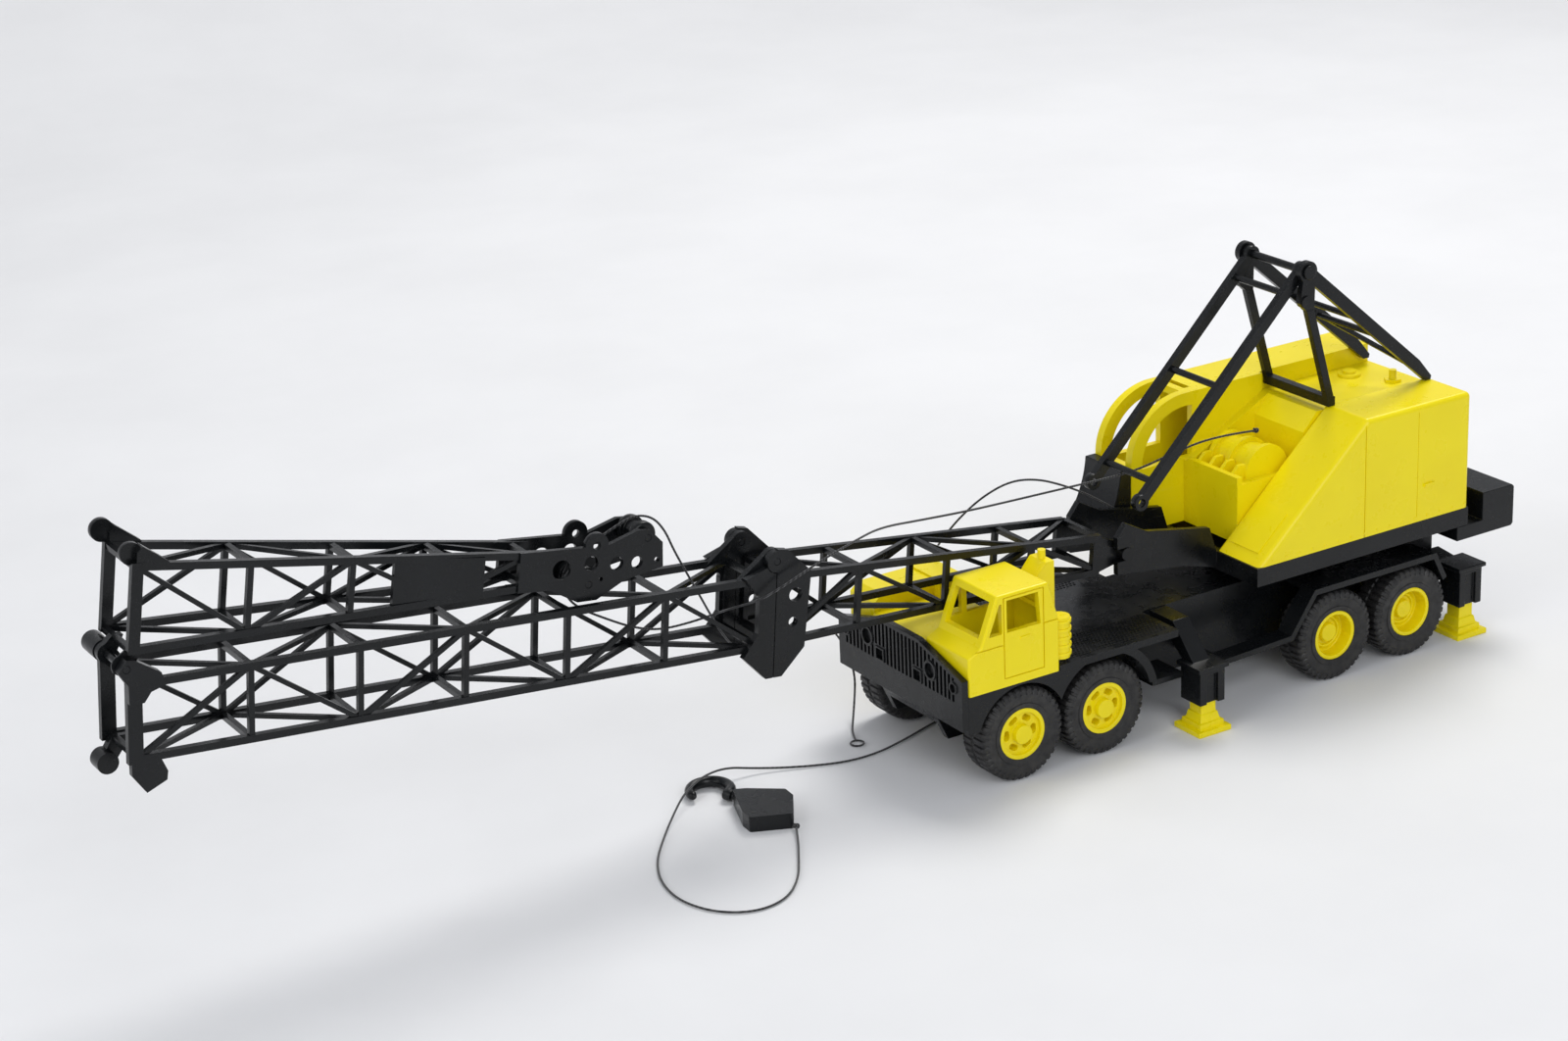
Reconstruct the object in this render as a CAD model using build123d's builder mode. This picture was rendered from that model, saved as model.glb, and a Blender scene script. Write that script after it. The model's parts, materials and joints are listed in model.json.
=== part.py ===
from build123d import *
from math import atan2, cos, degrees, pi, radians, sin, tan
import os

# Toy lattice-boom crane truck, moulded plastic, in millimetres.
# +X is forward, +Y is the driver's side and +Z is up. The wheels and jack pads stand on z = 0.
# Along the vehicle, x counts from the slewing axis, which stands at SLEW_X in the part's frame.

SLEW_X = -115.0

# Wheels
AXLE_HEIGHT = 11.0
FRONT_AXLES = (88.3, 65.8)
REAR_AXLES = (-1.4, -24.6)
TYRE_RADIUS = 11.0
TYRE_INNER = 16.2
TYRE_OUTER = 24.7
HUB_RADIUS = 6.0
HUB_INNER = 16.6
HUB_OUTER = 24.3
AXLE_RADIUS = 1.0
AXLE_REACH = 20.0
RUNNING_CLEARANCE = 0.06

# Carrier
DECK_HALF = 24.4
DECK_TOP = 24.6
CAB_FLOOR = 23.4
SPINE_HALF = 11.0
FRAME_WALL = 1.8
CAB_WALL = 1.4
BUMPER_REAR = 102.6
BUMPER_THICK = 1.6

# Outriggers and jacks
FRONT_JACK = (40.05, 26.92)
REAR_JACK = (-43.5, 21.08)
JACK_PAD = 9.2
JACK_STEM = 4.2
JACK_STEM_TOP = 12.5
SOCKET = 4.4
HOUSING = 7.0

# Turntable and superstructure
RING_RADIUS = 14.0
RING_TOP = 28.6
PIN_RADIUS = 3.0
BASE_BOTTOM = 28.8
BASE_TOP = 33.3
BASE_HALF = 24.2
HOUSE_WALL = 1.8
HOUSE_REAR = -42.3
COUNTERWEIGHT_REAR = -56.96

# Gantry and mast
MAST_PIVOT = (-3.0, 95.7)
MAST_END = (43.6, 50.2)
MAST_PIN_RADIUS = 0.9
MAST_RAIL = (7.95, 9.75)
GANTRY_SIDE = (9.95, 11.55)

# Boom: u runs along the boom from its foot pivot, v stands up from its centre line
BOOM_FOOT = (48.0, 39.0)
BOOM_TILT = 5.51
TRUNNION_RADIUS = 1.45
CHORD = 1.5
POST = 1.2
DIAGONAL = 1.0
SEAM = 93.1
BOOM_HALF_HEIGHT = 7.5
FOOT_HALF_HEIGHT = 3.7
BASE_HALF_WIDTH = 6.95
MID_HALF_WIDTH = 7.04
MID_STATIONS = [96.0 + 23.05 * bay for bay in range(7)]
BASE_STATIONS = [6.0, 25.0, 48.0, 71.0, 91.0]
PLATE_INNER = 7.3
PLATE_OUTER = 8.9
FOLD_HINGE = (SEAM, 11.6)
TIP_HINGE = (236.8, 11.4)
HINGE_PIN_RADIUS = 0.8
HINGE_LUG_RADIUS = 2.4
LUG_INNER = 5.6
LUG_OUTER = 7.1
KNOB_RADIUS = 2.2

# Tip section: a runs from its hinge end to its head, b stands up from its centre line
TIP_FOLD = 184.2
TIP_STATIONS = [1.4, 25.0, 46.8, 67.0, 86.0]
TIP_ROOT_HEIGHT = 8.3
TIP_ROOT_WIDTH = 7.04
TIP_HEAD_WIDTH = 3.8
TIP_DROP = 0.0585
HEAD_PLATE = (3.9, 5.1)
HEAD_SHEAVE = (113.4, -5.5)
HEAD_SHEAVE_RADIUS = 2.9
GUIDE_SHEAVE = (100.3, 3.6)
GUIDE_SHEAVE_RADIUS = 3.2
SHEAVE_HALF = 3.5
SHEAVE_PIN_RADIUS = 0.8

# Hook block and hook, lying on the floor
BLOCK_THICK = 3.6
HOOK_EYE = (144.9, -3.9)
HOOK_ANGLE = -65.0
HOOK_REACH = 7.4
HOOK_RADIUS = 4.5
HOOK_BAR = 1.3
HOOK_AXIS_HEIGHT = 1.5
STEM_RADIUS = 0.7

THREAD = 0.5

# Side planes: local X runs forward along the member, local Y up, and their normal points to -Y
VEHICLE = Plane(origin=(SLEW_X, 0, 0), x_dir=(1, 0, 0), z_dir=(0, -1, 0))


def tilted(origin, angle):
    """A side plane through origin (a point of the part) whose X rises at angle degrees."""
    x_dir = (cos(radians(angle)), 0, sin(radians(angle)))
    return Plane(origin=origin, x_dir=x_dir, z_dir=(0, -1, 0))


def place(plane, along, y, up):
    """The point of the part at local (along, up) of a side plane and at height y across it."""
    return plane.from_local_coords(Vector(along, up, -y))


BOOM = tilted(place(VEHICLE, BOOM_FOOT[0], 0, BOOM_FOOT[1]), BOOM_TILT)
TIP_ORIGIN = (
    TIP_HINGE[0] + TIP_HINGE[1] * sin(radians(TIP_FOLD)),
    TIP_HINGE[1] - TIP_HINGE[1] * cos(radians(TIP_FOLD)),
)
TIP = tilted(place(BOOM, TIP_ORIGIN[0], 0, TIP_ORIGIN[1]), BOOM_TILT + TIP_FOLD)


def across(side, near, far):
    """The low and high y between two distances from the centre line, on one side (-1 or 1)."""
    return tuple(sorted((side * near, side * far)))


def level(z):
    """A plan sketch plane at height z, with X counted from the slewing axis."""
    return Plane(origin=(SLEW_X, 0, z))


def crosswise(x):
    """A sketch plane across the vehicle at x: local X is y and local Y is z, normal forward."""
    return Plane(origin=(SLEW_X + x, 0, 0), x_dir=(0, 1, 0), z_dir=(1, 0, 0))


def slab(plane, outline, y_low, y_high):
    """A plate with a straight-sided outline on a side plane, between two y values."""
    with BuildPart() as plate:
        with BuildSketch(plane.offset(-y_high)):
            Polygon(*outline, align=None)
        extrude(amount=y_high - y_low)
    return plate.part


def block(x, y, z):
    """A box between pairs of x, y and z values of the vehicle."""
    outline = [(x[0], z[0]), (x[1], z[0]), (x[1], z[1]), (x[0], z[1])]
    return slab(VEHICLE, outline, y[0], y[1])


def rod(plane, centre, radius, y_low, y_high):
    """A round rod across the vehicle, centred at (along, up) of a side plane."""
    with BuildPart() as bar:
        with BuildSketch(plane.offset(-y_high)):
            with Locations(centre):
                Circle(radius)
        extrude(amount=y_high - y_low)
    return bar.part


def beam(start, end, size):
    """A square bar from start to end."""
    axis = end - start
    crossing = abs(axis.Y) > 0.9 * axis.length
    reference = Vector(1, 0, 0) if crossing else Vector(0, 1, 0)
    with BuildPart() as bar:
        with BuildSketch(Plane(origin=start, x_dir=reference.cross(axis), z_dir=axis)):
            Rectangle(size, size)
        extrude(amount=axis.length)
    return bar.part


def open_box(outline, y_low, y_high, wall, rounding=0.0):
    """A moulded box, open underneath. Its outline starts with its two bottom corners.

    rounding is the radius of its outer edges, other than those round the open bottom.
    """
    floor_level = outline[0][1]
    lowered = [(outline[0][0], floor_level - wall), (outline[1][0], floor_level - wall)]
    with BuildPart() as shell:
        with BuildSketch(VEHICLE.offset(-y_high)):
            Polygon(*outline, align=None)
        extrude(amount=y_high - y_low)
        if rounding:
            fillet(shell.edges().filter_by_position(Axis.Z, floor_level + 0.1, 100.0), rounding)
        with BuildSketch(VEHICLE.offset(wall - y_high)):
            Polygon(*lowered, *outline[2:], align=None)
            offset(amount=-wall, kind=Kind.INTERSECTION)
        extrude(amount=y_high - y_low - 2 * wall, mode=Mode.SUBTRACT)
    return shell.part


def truss(plane, stations, half_width, half_height, first_up):
    """Bars of a four-chord lattice: chords, posts, cross-members and alternating diagonals.

    half_width and half_height give the chord lines at a station. first_up says whether the
    first diagonal of the near face climbs.
    """

    def corner(station, side, rise):
        return place(plane, station, side * half_width(station), rise * half_height(station))

    bars = []
    for side in (-1, 1):
        for rise in (-1, 1):
            bars.append(beam(corner(stations[0], side, rise), corner(stations[-1], side, rise), CHORD))
    for station in stations:
        for end in (-1, 1):
            bars.append(beam(corner(station, end, -1), corner(station, end, 1), POST))
            bars.append(beam(corner(station, -1, end), corner(station, 1, end), POST))
    for bay in range(len(stations) - 1):
        back = stations[bay]
        ahead = stations[bay + 1]
        turn = 1 if (bay % 2 == 0) == first_up else -1
        for end in (-1, 1):
            bars.append(beam(corner(back, end, -turn * end), corner(ahead, end, turn * end), DIAGONAL))
            bars.append(beam(corner(back, -turn * end, end), corner(ahead, turn * end, end), DIAGONAL))
    return bars


def save(build, name):
    """Label a finished sub-part and write it as parts/NAME.step."""
    build.part.label = name
    export_step(build.part, f"parts/{name}.step")


os.makedirs("parts", exist_ok=True)

# ---------------------------------------------------------------- carrier frame

SPINE = [
    (-37.0, 8.0), (-43.4, 13.0), (-43.4, 22.0), (-32.0, DECK_TOP), (78.0, DECK_TOP), (78.0, CAB_FLOOR),
    (BUMPER_REAR, CAB_FLOOR), (BUMPER_REAR, 15.7), (99.0, 8.0),
]
SPINE_HOLLOW = [
    (-60.0, 0.0), (-60.0, 19.5), (-43.4, 20.0), (-32.0, 22.6), (76.0, 22.6), (78.0, 21.6),
    (BUMPER_REAR - FRAME_WALL, 21.6), (BUMPER_REAR - FRAME_WALL, 0.0),
]
RUNNING_BOARD = [(34.7, 12.9), (11.6, 13.7), (4.6, 23.3), (-32.0, 23.4), (-35.3, 16.9)]
ARCHES = [(65.8, 13.0, 15.0), (88.3, 11.9, 13.7)]

with BuildPart() as carrier_frame:
    with BuildSketch(VEHICLE.offset(-SPINE_HALF)):
        Polygon(*SPINE, align=None)
    extrude(amount=2 * SPINE_HALF)
    with BuildSketch(VEHICLE.offset(FRAME_WALL - SPINE_HALF)):
        Polygon(*SPINE_HOLLOW, align=None)
    extrude(amount=2 * (SPINE_HALF - FRAME_WALL), mode=Mode.SUBTRACT)
    # front deck, with the lower floor that the cab stands on
    add(block((45.0, 78.0), (-DECK_HALF, DECK_HALF), (22.9, DECK_TOP)))
    add(block((78.0, BUMPER_REAR), (-DECK_HALF, DECK_HALF), (22.9, CAB_FLOOR)))
    # rear deck
    add(block((-32.0, 4.6), (-DECK_HALF, DECK_HALF), (22.6, 24.0)))
    for side in (-1, 1):
        # front mudguards: rings over both tyres, filled between and ahead of them
        with BuildSketch(VEHICLE.offset(-max(side * 15.2, side * DECK_HALF))):
            with Locations((65.8, AXLE_HEIGHT)):
                Circle(15.0)
            with Locations((84.2, 19.0)):
                Rectangle(36.8, 8.8)
            for x, inner, outer in ARCHES:
                with Locations((x, AXLE_HEIGHT)):
                    Circle(inner, mode=Mode.SUBTRACT)
            with Locations((65.8, 0.0)):
                Rectangle(60.0, 27.6, mode=Mode.SUBTRACT)
            with Locations((65.8, 34.6)):
                Rectangle(60.0, 20.0, mode=Mode.SUBTRACT)
            with Locations((98.0, 33.4)):
                Rectangle(40.0, 20.0, mode=Mode.SUBTRACT)
        extrude(amount=DECK_HALF - 15.2)
        # running-board strip, over the rear wheels and down behind them
        with BuildSketch(VEHICLE.offset(-max(side * 19.6, side * DECK_HALF))):
            with BuildLine():
                Polyline(*RUNNING_BOARD)
            trace(line_width=1.3)
        extrude(amount=DECK_HALF - 19.6)
        # bracket that carries the low end of the running board, and the step behind the mudguard
        add(block((31.0, 34.0), across(side, 10.0, 20.0), (12.3, 13.5)))
        add(block((43.8, 52.4), across(side, 15.2, DECK_HALF), (12.7, 14.0)))
    for x in FRONT_AXLES + REAR_AXLES:
        with BuildSketch(VEHICLE.offset(-SPINE_HALF)):
            with Locations((x, AXLE_HEIGHT)):
                Circle(AXLE_RADIUS + RUNNING_CLEARANCE)
        extrude(amount=2 * SPINE_HALF, mode=Mode.SUBTRACT)
    with BuildSketch(level(DECK_TOP)):
        Circle(PIN_RADIUS + RUNNING_CLEARANCE)
    extrude(amount=-4.0, mode=Mode.SUBTRACT)
save(carrier_frame, "carrier_frame")

BUMPER_FRONT = BUMPER_REAR + BUMPER_THICK
BUMPER_BOTTOM = 15.7
BUMPER_SIDE_TOP = 27.5
BUMPER_MIDDLE_TOP = 32.2
BUMPER_FLAT = 7.5
GRILLE_SLOTS = 29
GRILLE_PITCH = 1.5
GRILLE_BOTTOM = 21.9
SLOT_WIDTH = 0.8
# round lamps: distance from the middle, height, then radius of surround, rim and glass
ROUND_LAMPS = ((12.4, 26.4, 2.48, 2.3, 1.75), (21.2, 25.2, 1.62, 1.42, 0.98))
SQUARE_LAMP = (7.4, 23.6)


def grille_top(y):
    """Top of the grille slot at a distance y from the middle."""
    slope = (BUMPER_MIDDLE_TOP - BUMPER_SIDE_TOP) / (DECK_HALF - BUMPER_FLAT)
    return min(BUMPER_MIDDLE_TOP, BUMPER_SIDE_TOP + (DECK_HALF - abs(y)) * slope) - 0.9


with BuildPart() as front_bumper:
    with BuildSketch(crosswise(BUMPER_REAR)):
        Polygon(
            (-DECK_HALF, BUMPER_BOTTOM), (DECK_HALF, BUMPER_BOTTOM), (DECK_HALF, BUMPER_SIDE_TOP),
            (BUMPER_FLAT, BUMPER_MIDDLE_TOP), (-BUMPER_FLAT, BUMPER_MIDDLE_TOP),
            (-DECK_HALF, BUMPER_SIDE_TOP), align=None,
        )
    extrude(amount=BUMPER_THICK)
    # grille slots, cut part of the way through and left out where the lamps stand
    with BuildSketch(crosswise(BUMPER_FRONT)):
        for slot in range(GRILLE_SLOTS):
            y = GRILLE_PITCH * (slot - (GRILLE_SLOTS - 1) / 2)
            with Locations((y, (GRILLE_BOTTOM + grille_top(y)) / 2)):
                Rectangle(SLOT_WIDTH, grille_top(y) - GRILLE_BOTTOM)
        for side in (-1, 1):
            for y, z, surround, rim, glass in ROUND_LAMPS:
                with Locations((side * y, z)):
                    Circle(surround, mode=Mode.SUBTRACT)
            with Locations((side * SQUARE_LAMP[0], SQUARE_LAMP[1])):
                Rectangle(4.2, 4.0, mode=Mode.SUBTRACT)
    extrude(amount=-0.8, mode=Mode.SUBTRACT)
    # lamps: a raised rim round a sunk glass
    for start, depth, mode in ((0.0, 0.3, Mode.ADD), (0.3, -0.9, Mode.SUBTRACT)):
        with BuildSketch(crosswise(BUMPER_FRONT + start)):
            for side in (-1, 1):
                for y, z, surround, rim, glass in ROUND_LAMPS:
                    with Locations((side * y, z)):
                        Circle(rim if mode == Mode.ADD else glass)
                with Locations((side * SQUARE_LAMP[0], SQUARE_LAMP[1])):
                    if mode == Mode.ADD:
                        Rectangle(3.4, 3.2)
                    else:
                        Rectangle(2.6, 2.4)
        extrude(amount=depth, mode=mode)
save(front_bumper, "front_bumper")

with BuildPart() as turntable_ring:
    with BuildSketch(level(DECK_TOP)):
        Circle(RING_RADIUS)
        Circle(PIN_RADIUS + RUNNING_CLEARANCE, mode=Mode.SUBTRACT)
    extrude(amount=RING_TOP - DECK_TOP)
    chamfer(turntable_ring.edges().filter_by(GeomType.CIRCLE).sort_by(SortBy.RADIUS)[-1], 0.4)
save(turntable_ring, "turntable_ring")

# ---------------------------------------------------------------- carrier cab

CAB_NEAR = [
    (78.0, CAB_FLOOR), (102.3, CAB_FLOOR), (102.3, 32.4), (99.0, 34.0), (94.5, 45.0), (80.7, 45.0),
    (78.0, 35.8),
]
BONNET = [(80.0, CAB_FLOOR), (101.5, CAB_FLOOR), (101.5, 29.6), (100.0, 30.5), (80.0, 30.5)]
FAR_BOX = [(84.0, CAB_FLOOR), (100.7, CAB_FLOOR), (100.7, 32.6), (98.5, 34.4), (84.0, 34.4)]
FAR_REAR = [(78.0, CAB_FLOOR), (84.5, CAB_FLOOR), (84.5, 34.9), (78.0, 34.9)]
DOOR_WINDOW = [(83.0, 36.0), (92.0, 36.0), (92.0, 43.5), (83.6, 43.5)]
CAB_WINDSCREEN = [(94.0, 35.6), (99.0, 35.6), (96.0, 43.4), (92.0, 43.4)]
QUARTER_WINDOW = [(93.3, 36.0), (96.8, 36.0), (93.9, 43.0), (93.3, 43.0)]

STACK = [(73.0, DECK_TOP), (78.0, DECK_TOP), (78.0, 42.4), (75.2, 45.6), (73.0, 45.6)]

with BuildPart() as carrier_cab:
    add(open_box(CAB_NEAR, 8.0, DECK_HALF, CAB_WALL, 0.6))
    add(open_box(BONNET, -14.6, 8.0, CAB_WALL))
    add(open_box(FAR_BOX, -DECK_HALF, -14.5, CAB_WALL))
    add(open_box(FAR_REAR, -DECK_HALF, -12.0, CAB_WALL))
    # side windows go through both walls, and the windscreen and rear window along the cab
    add(slab(VEHICLE, DOOR_WINDOW, 7.0, 25.0), mode=Mode.SUBTRACT)
    add(slab(VEHICLE, QUARTER_WINDOW, 7.0, 25.0), mode=Mode.SUBTRACT)
    add(slab(VEHICLE, CAB_WINDSCREEN, 9.9, 22.5), mode=Mode.SUBTRACT)
    add(block((77.0, 82.0), (11.5, 21.0), (37.0, 42.5)), mode=Mode.SUBTRACT)
    # exhaust stack behind the cab, with its pipe, and the upright air cleaner beside it
    add(slab(VEHICLE, STACK, 10.0, 16.0))
    with BuildSketch(level(45.6)):
        with Locations((74.2, 13.0)):
            Circle(0.9)
    extrude(amount=2.0)
    with BuildSketch(level(25.7)):
        with Locations((76.2, 22.0)):
            Circle(2.3)
    extrude(amount=9.6)
    for rib in range(5):
        with BuildSketch(level(26.4 + 1.9 * rib)):
            with Locations((76.2, 22.0)):
                Circle(2.6)
        extrude(amount=0.7)
    # door edge and handle, raised on the outer wall
    add(block((85.8, 88.4), (DECK_HALF, DECK_HALF + 0.25), (33.6, 34.2)))
save(carrier_cab, "carrier_cab")

# ---------------------------------------------------------------- outriggers and jacks


def outrigger(name, centre, side, bottom, top, arm):
    """A jack housing on an arm that reaches out from the frame's spine; arm is its (y, z) outline."""
    x = centre[0]
    y = side * centre[1]
    outline = [(side * reach, up) for reach, up in arm]
    with BuildPart() as build:
        with BuildSketch(level(bottom)):
            with Locations((x, y)):
                Rectangle(HOUSING, HOUSING)
        extrude(amount=top - bottom)
        with BuildSketch(level(top - 1.0)):
            with Locations((x, y)):
                Rectangle(HOUSING + 1.6, HOUSING + 1.2)
        extrude(amount=1.0)
        with BuildSketch(crosswise(x - 2.0)):
            Polygon(*outline, align=None)
        extrude(amount=4.6)
        with BuildSketch(level(bottom)):
            with Locations((x, y)):
                Rectangle(SOCKET, SOCKET)
        extrude(amount=JACK_STEM_TOP + 3.0 - bottom, mode=Mode.SUBTRACT)
        # shallow recess in the outer face
        face = centre[1] + HOUSING / 2
        recess = block((x - 1.6, x + 1.6), across(side, face - 0.8, face + 1.0), (bottom, top - 2.0))
        add(recess, mode=Mode.SUBTRACT)
    save(build, name)


def jack(name, centre, side):
    """A stepped square pad with a stem that slides up and down in its housing."""
    with BuildPart() as build:
        for size, low, high in ((JACK_PAD, 0.0, 1.3), (6.8, 1.3, 2.6)):
            with BuildSketch(level(low)):
                with Locations((centre[0], side * centre[1])):
                    Rectangle(size, size)
            extrude(amount=high - low)
        with BuildSketch(level(2.6)):
            with Locations((centre[0], side * centre[1])):
                Rectangle(5.6, 5.6)
        extrude(amount=1.9, taper=12)
        with BuildSketch(level(2.6)):
            with Locations((centre[0], side * centre[1])):
                Rectangle(JACK_STEM, JACK_STEM)
        extrude(amount=JACK_STEM_TOP - 2.6)
    save(build, name)


FRONT_ARM = [
    (SPINE_HALF, 20.6), (SPINE_HALF, 24.4), (19.4, 24.4), (27.6, 15.7), (23.42, 15.7), (17.6, 20.6),
]
REAR_ARM = [(SPINE_HALF, 12.5), (SPINE_HALF, 18.6), (17.6, 17.8), (17.6, 12.5)]
for side, side_name in ((1, "left"), (-1, "right")):
    outrigger(f"front_outrigger_{side_name}", FRONT_JACK, side, 7.3, 16.5, FRONT_ARM)
    outrigger(f"rear_outrigger_{side_name}", REAR_JACK, side, 8.0, 18.2, REAR_ARM)
    jack(f"front_jack_{side_name}", FRONT_JACK, side)
    jack(f"rear_jack_{side_name}", REAR_JACK, side)

# ---------------------------------------------------------------- wheels


def tyre(name, x, side):
    """A broad tyre with a flat tread and bevelled shoulders."""
    with BuildPart() as build:
        with BuildSketch(VEHICLE.offset(-max(side * TYRE_INNER, side * TYRE_OUTER))):
            with Locations((x, AXLE_HEIGHT)):
                Circle(TYRE_RADIUS)
                Circle(HUB_RADIUS, mode=Mode.SUBTRACT)
        extrude(amount=TYRE_OUTER - TYRE_INNER)
        rims = build.edges().filter_by(GeomType.CIRCLE).group_by(SortBy.RADIUS)[-1]
        chamfer(rims, 1.0)
    save(build, name)


def hub(name, x, side, dished):
    """A wheel centre: a slotted disc on front wheels, a deep ringed dish on rear wheels."""
    outer = Plane(
        origin=(SLEW_X + x, side * HUB_OUTER, AXLE_HEIGHT), x_dir=(1, 0, 0), z_dir=(0, side, 0)
    )
    depth = HUB_OUTER - HUB_INNER
    recess = 3.6 if dished else 1.0
    with BuildPart() as build:
        with BuildSketch(outer):
            Circle(HUB_RADIUS)
        extrude(amount=-depth)
        with BuildSketch(outer):
            Circle(5.0)
        extrude(amount=-recess, mode=Mode.SUBTRACT)
        with BuildSketch(outer.offset(-recess)):
            Circle(2.2)
        extrude(amount=1.6)
        if dished:
            with BuildSketch(outer.offset(-recess)):
                Circle(3.9)
                Circle(3.2, mode=Mode.SUBTRACT)
            extrude(amount=0.7)
        else:
            with BuildSketch(outer.offset(-recess)):
                with PolarLocations(3.6, 6):
                    SlotOverall(2.4, 1.4, rotation=90)
            extrude(amount=-2.2, mode=Mode.SUBTRACT)
        with BuildSketch(outer.offset(-depth)):
            Circle(AXLE_RADIUS)
        extrude(amount=AXLE_REACH - HUB_INNER, mode=Mode.SUBTRACT)
    save(build, name)


for number, x in enumerate(FRONT_AXLES + REAR_AXLES, 1):
    with BuildPart() as axle:
        with BuildSketch(VEHICLE.offset(-AXLE_REACH)):
            with Locations((x, AXLE_HEIGHT)):
                Circle(AXLE_RADIUS)
        extrude(amount=2 * AXLE_REACH)
    save(axle, f"axle_{number}")
    for side, side_name in ((1, "left"), (-1, "right")):
        hub(f"hub_{number}_{side_name}", x, side, x in REAR_AXLES)
        tyre(f"tyre_{number}_{side_name}", x, side)

# ---------------------------------------------------------------- superstructure

with BuildPart() as slew_pin:
    with BuildSketch(level(21.8)):
        Circle(4.5)
    extrude(amount=0.7)
    with BuildSketch(level(22.5)):
        Circle(PIN_RADIUS)
    extrude(amount=30.6 - 22.5)
save(slew_pin, "slew_pin")

BASE_FRONT = 22.0
CAB_BASE_FRONT = 36.0
ARM_SIDE = (8.05, 9.65)
ARM = [
    (20.0, BASE_BOTTOM), (32.0, 32.0), (50.6, 34.4), (50.6, 37.5), (48.0, 37.5), (48.0, 40.5), (50.6, 40.5),
    (50.6, 43.2), (48.0, 46.3), (42.0, 43.0), (24.0, 39.5), (22.0, BASE_TOP), (20.0, BASE_TOP),
]

with BuildPart() as super_base:
    add(block((HOUSE_REAR, BASE_FRONT), (-BASE_HALF, BASE_HALF), (BASE_BOTTOM, BASE_TOP)))
    add(block((BASE_FRONT, CAB_BASE_FRONT), (-BASE_HALF, -10.5), (BASE_BOTTOM, BASE_TOP)))
    add(
        block(
            (HOUSE_REAR + HOUSE_WALL, BASE_FRONT - HOUSE_WALL),
            (HOUSE_WALL - BASE_HALF, BASE_HALF - HOUSE_WALL),
            (30.6, BASE_TOP),
        ),
        mode=Mode.SUBTRACT,
    )
    for low, high in (ARM_SIDE, (-ARM_SIDE[1], -ARM_SIDE[0])):
        add(slab(VEHICLE, ARM, low, high))
        add(rod(VEHICLE, BOOM_FOOT, 1.5, low, high), mode=Mode.SUBTRACT)
    with BuildSketch(level(BASE_BOTTOM)):
        Circle(PIN_RADIUS)
    extrude(amount=1.8, mode=Mode.SUBTRACT)
save(super_base, "super_base")

NEAR_BOX = [(HOUSE_REAR, BASE_TOP), (21.5, BASE_TOP), (-10.6, 62.0), (HOUSE_REAR, 62.0)]
CENTRE_BOX = [
    (HOUSE_REAR, BASE_TOP), (15.5, BASE_TOP), (15.5, 47.6), (-4.0, 47.6), (-4.0, 56.3), (-8.0, 60.6),
    (HOUSE_REAR, 60.6),
]
FAR_HOUSE = [(HOUSE_REAR, BASE_TOP), (-8.0, BASE_TOP), (-8.0, 65.0), (HOUSE_REAR, 65.0)]
CAB_SIDE = (-24.2, -10.5)
OPERATOR_WINDSCREEN = [(15.0, 50.0), (33.0, 50.0), (33.0, 67.0), (15.0, 67.0)]
DRUM = (5.0, 48.5)
POCKET_RIM = [(-8.0, 50.0), (-8.0, 60.6), (-2.0, 57.6), (15.5, 48.6), (15.5, 44.0)]
POCKET_RIB = [(9.0, 46.0), (15.0, 46.0), (15.0, 48.6), (12.6, 51.0), (10.6, 51.0)]
NOSE_PANEL = [(18.98, 35.28), (10.56, 42.81), (10.89, 43.18), (19.31, 35.65)]

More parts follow.
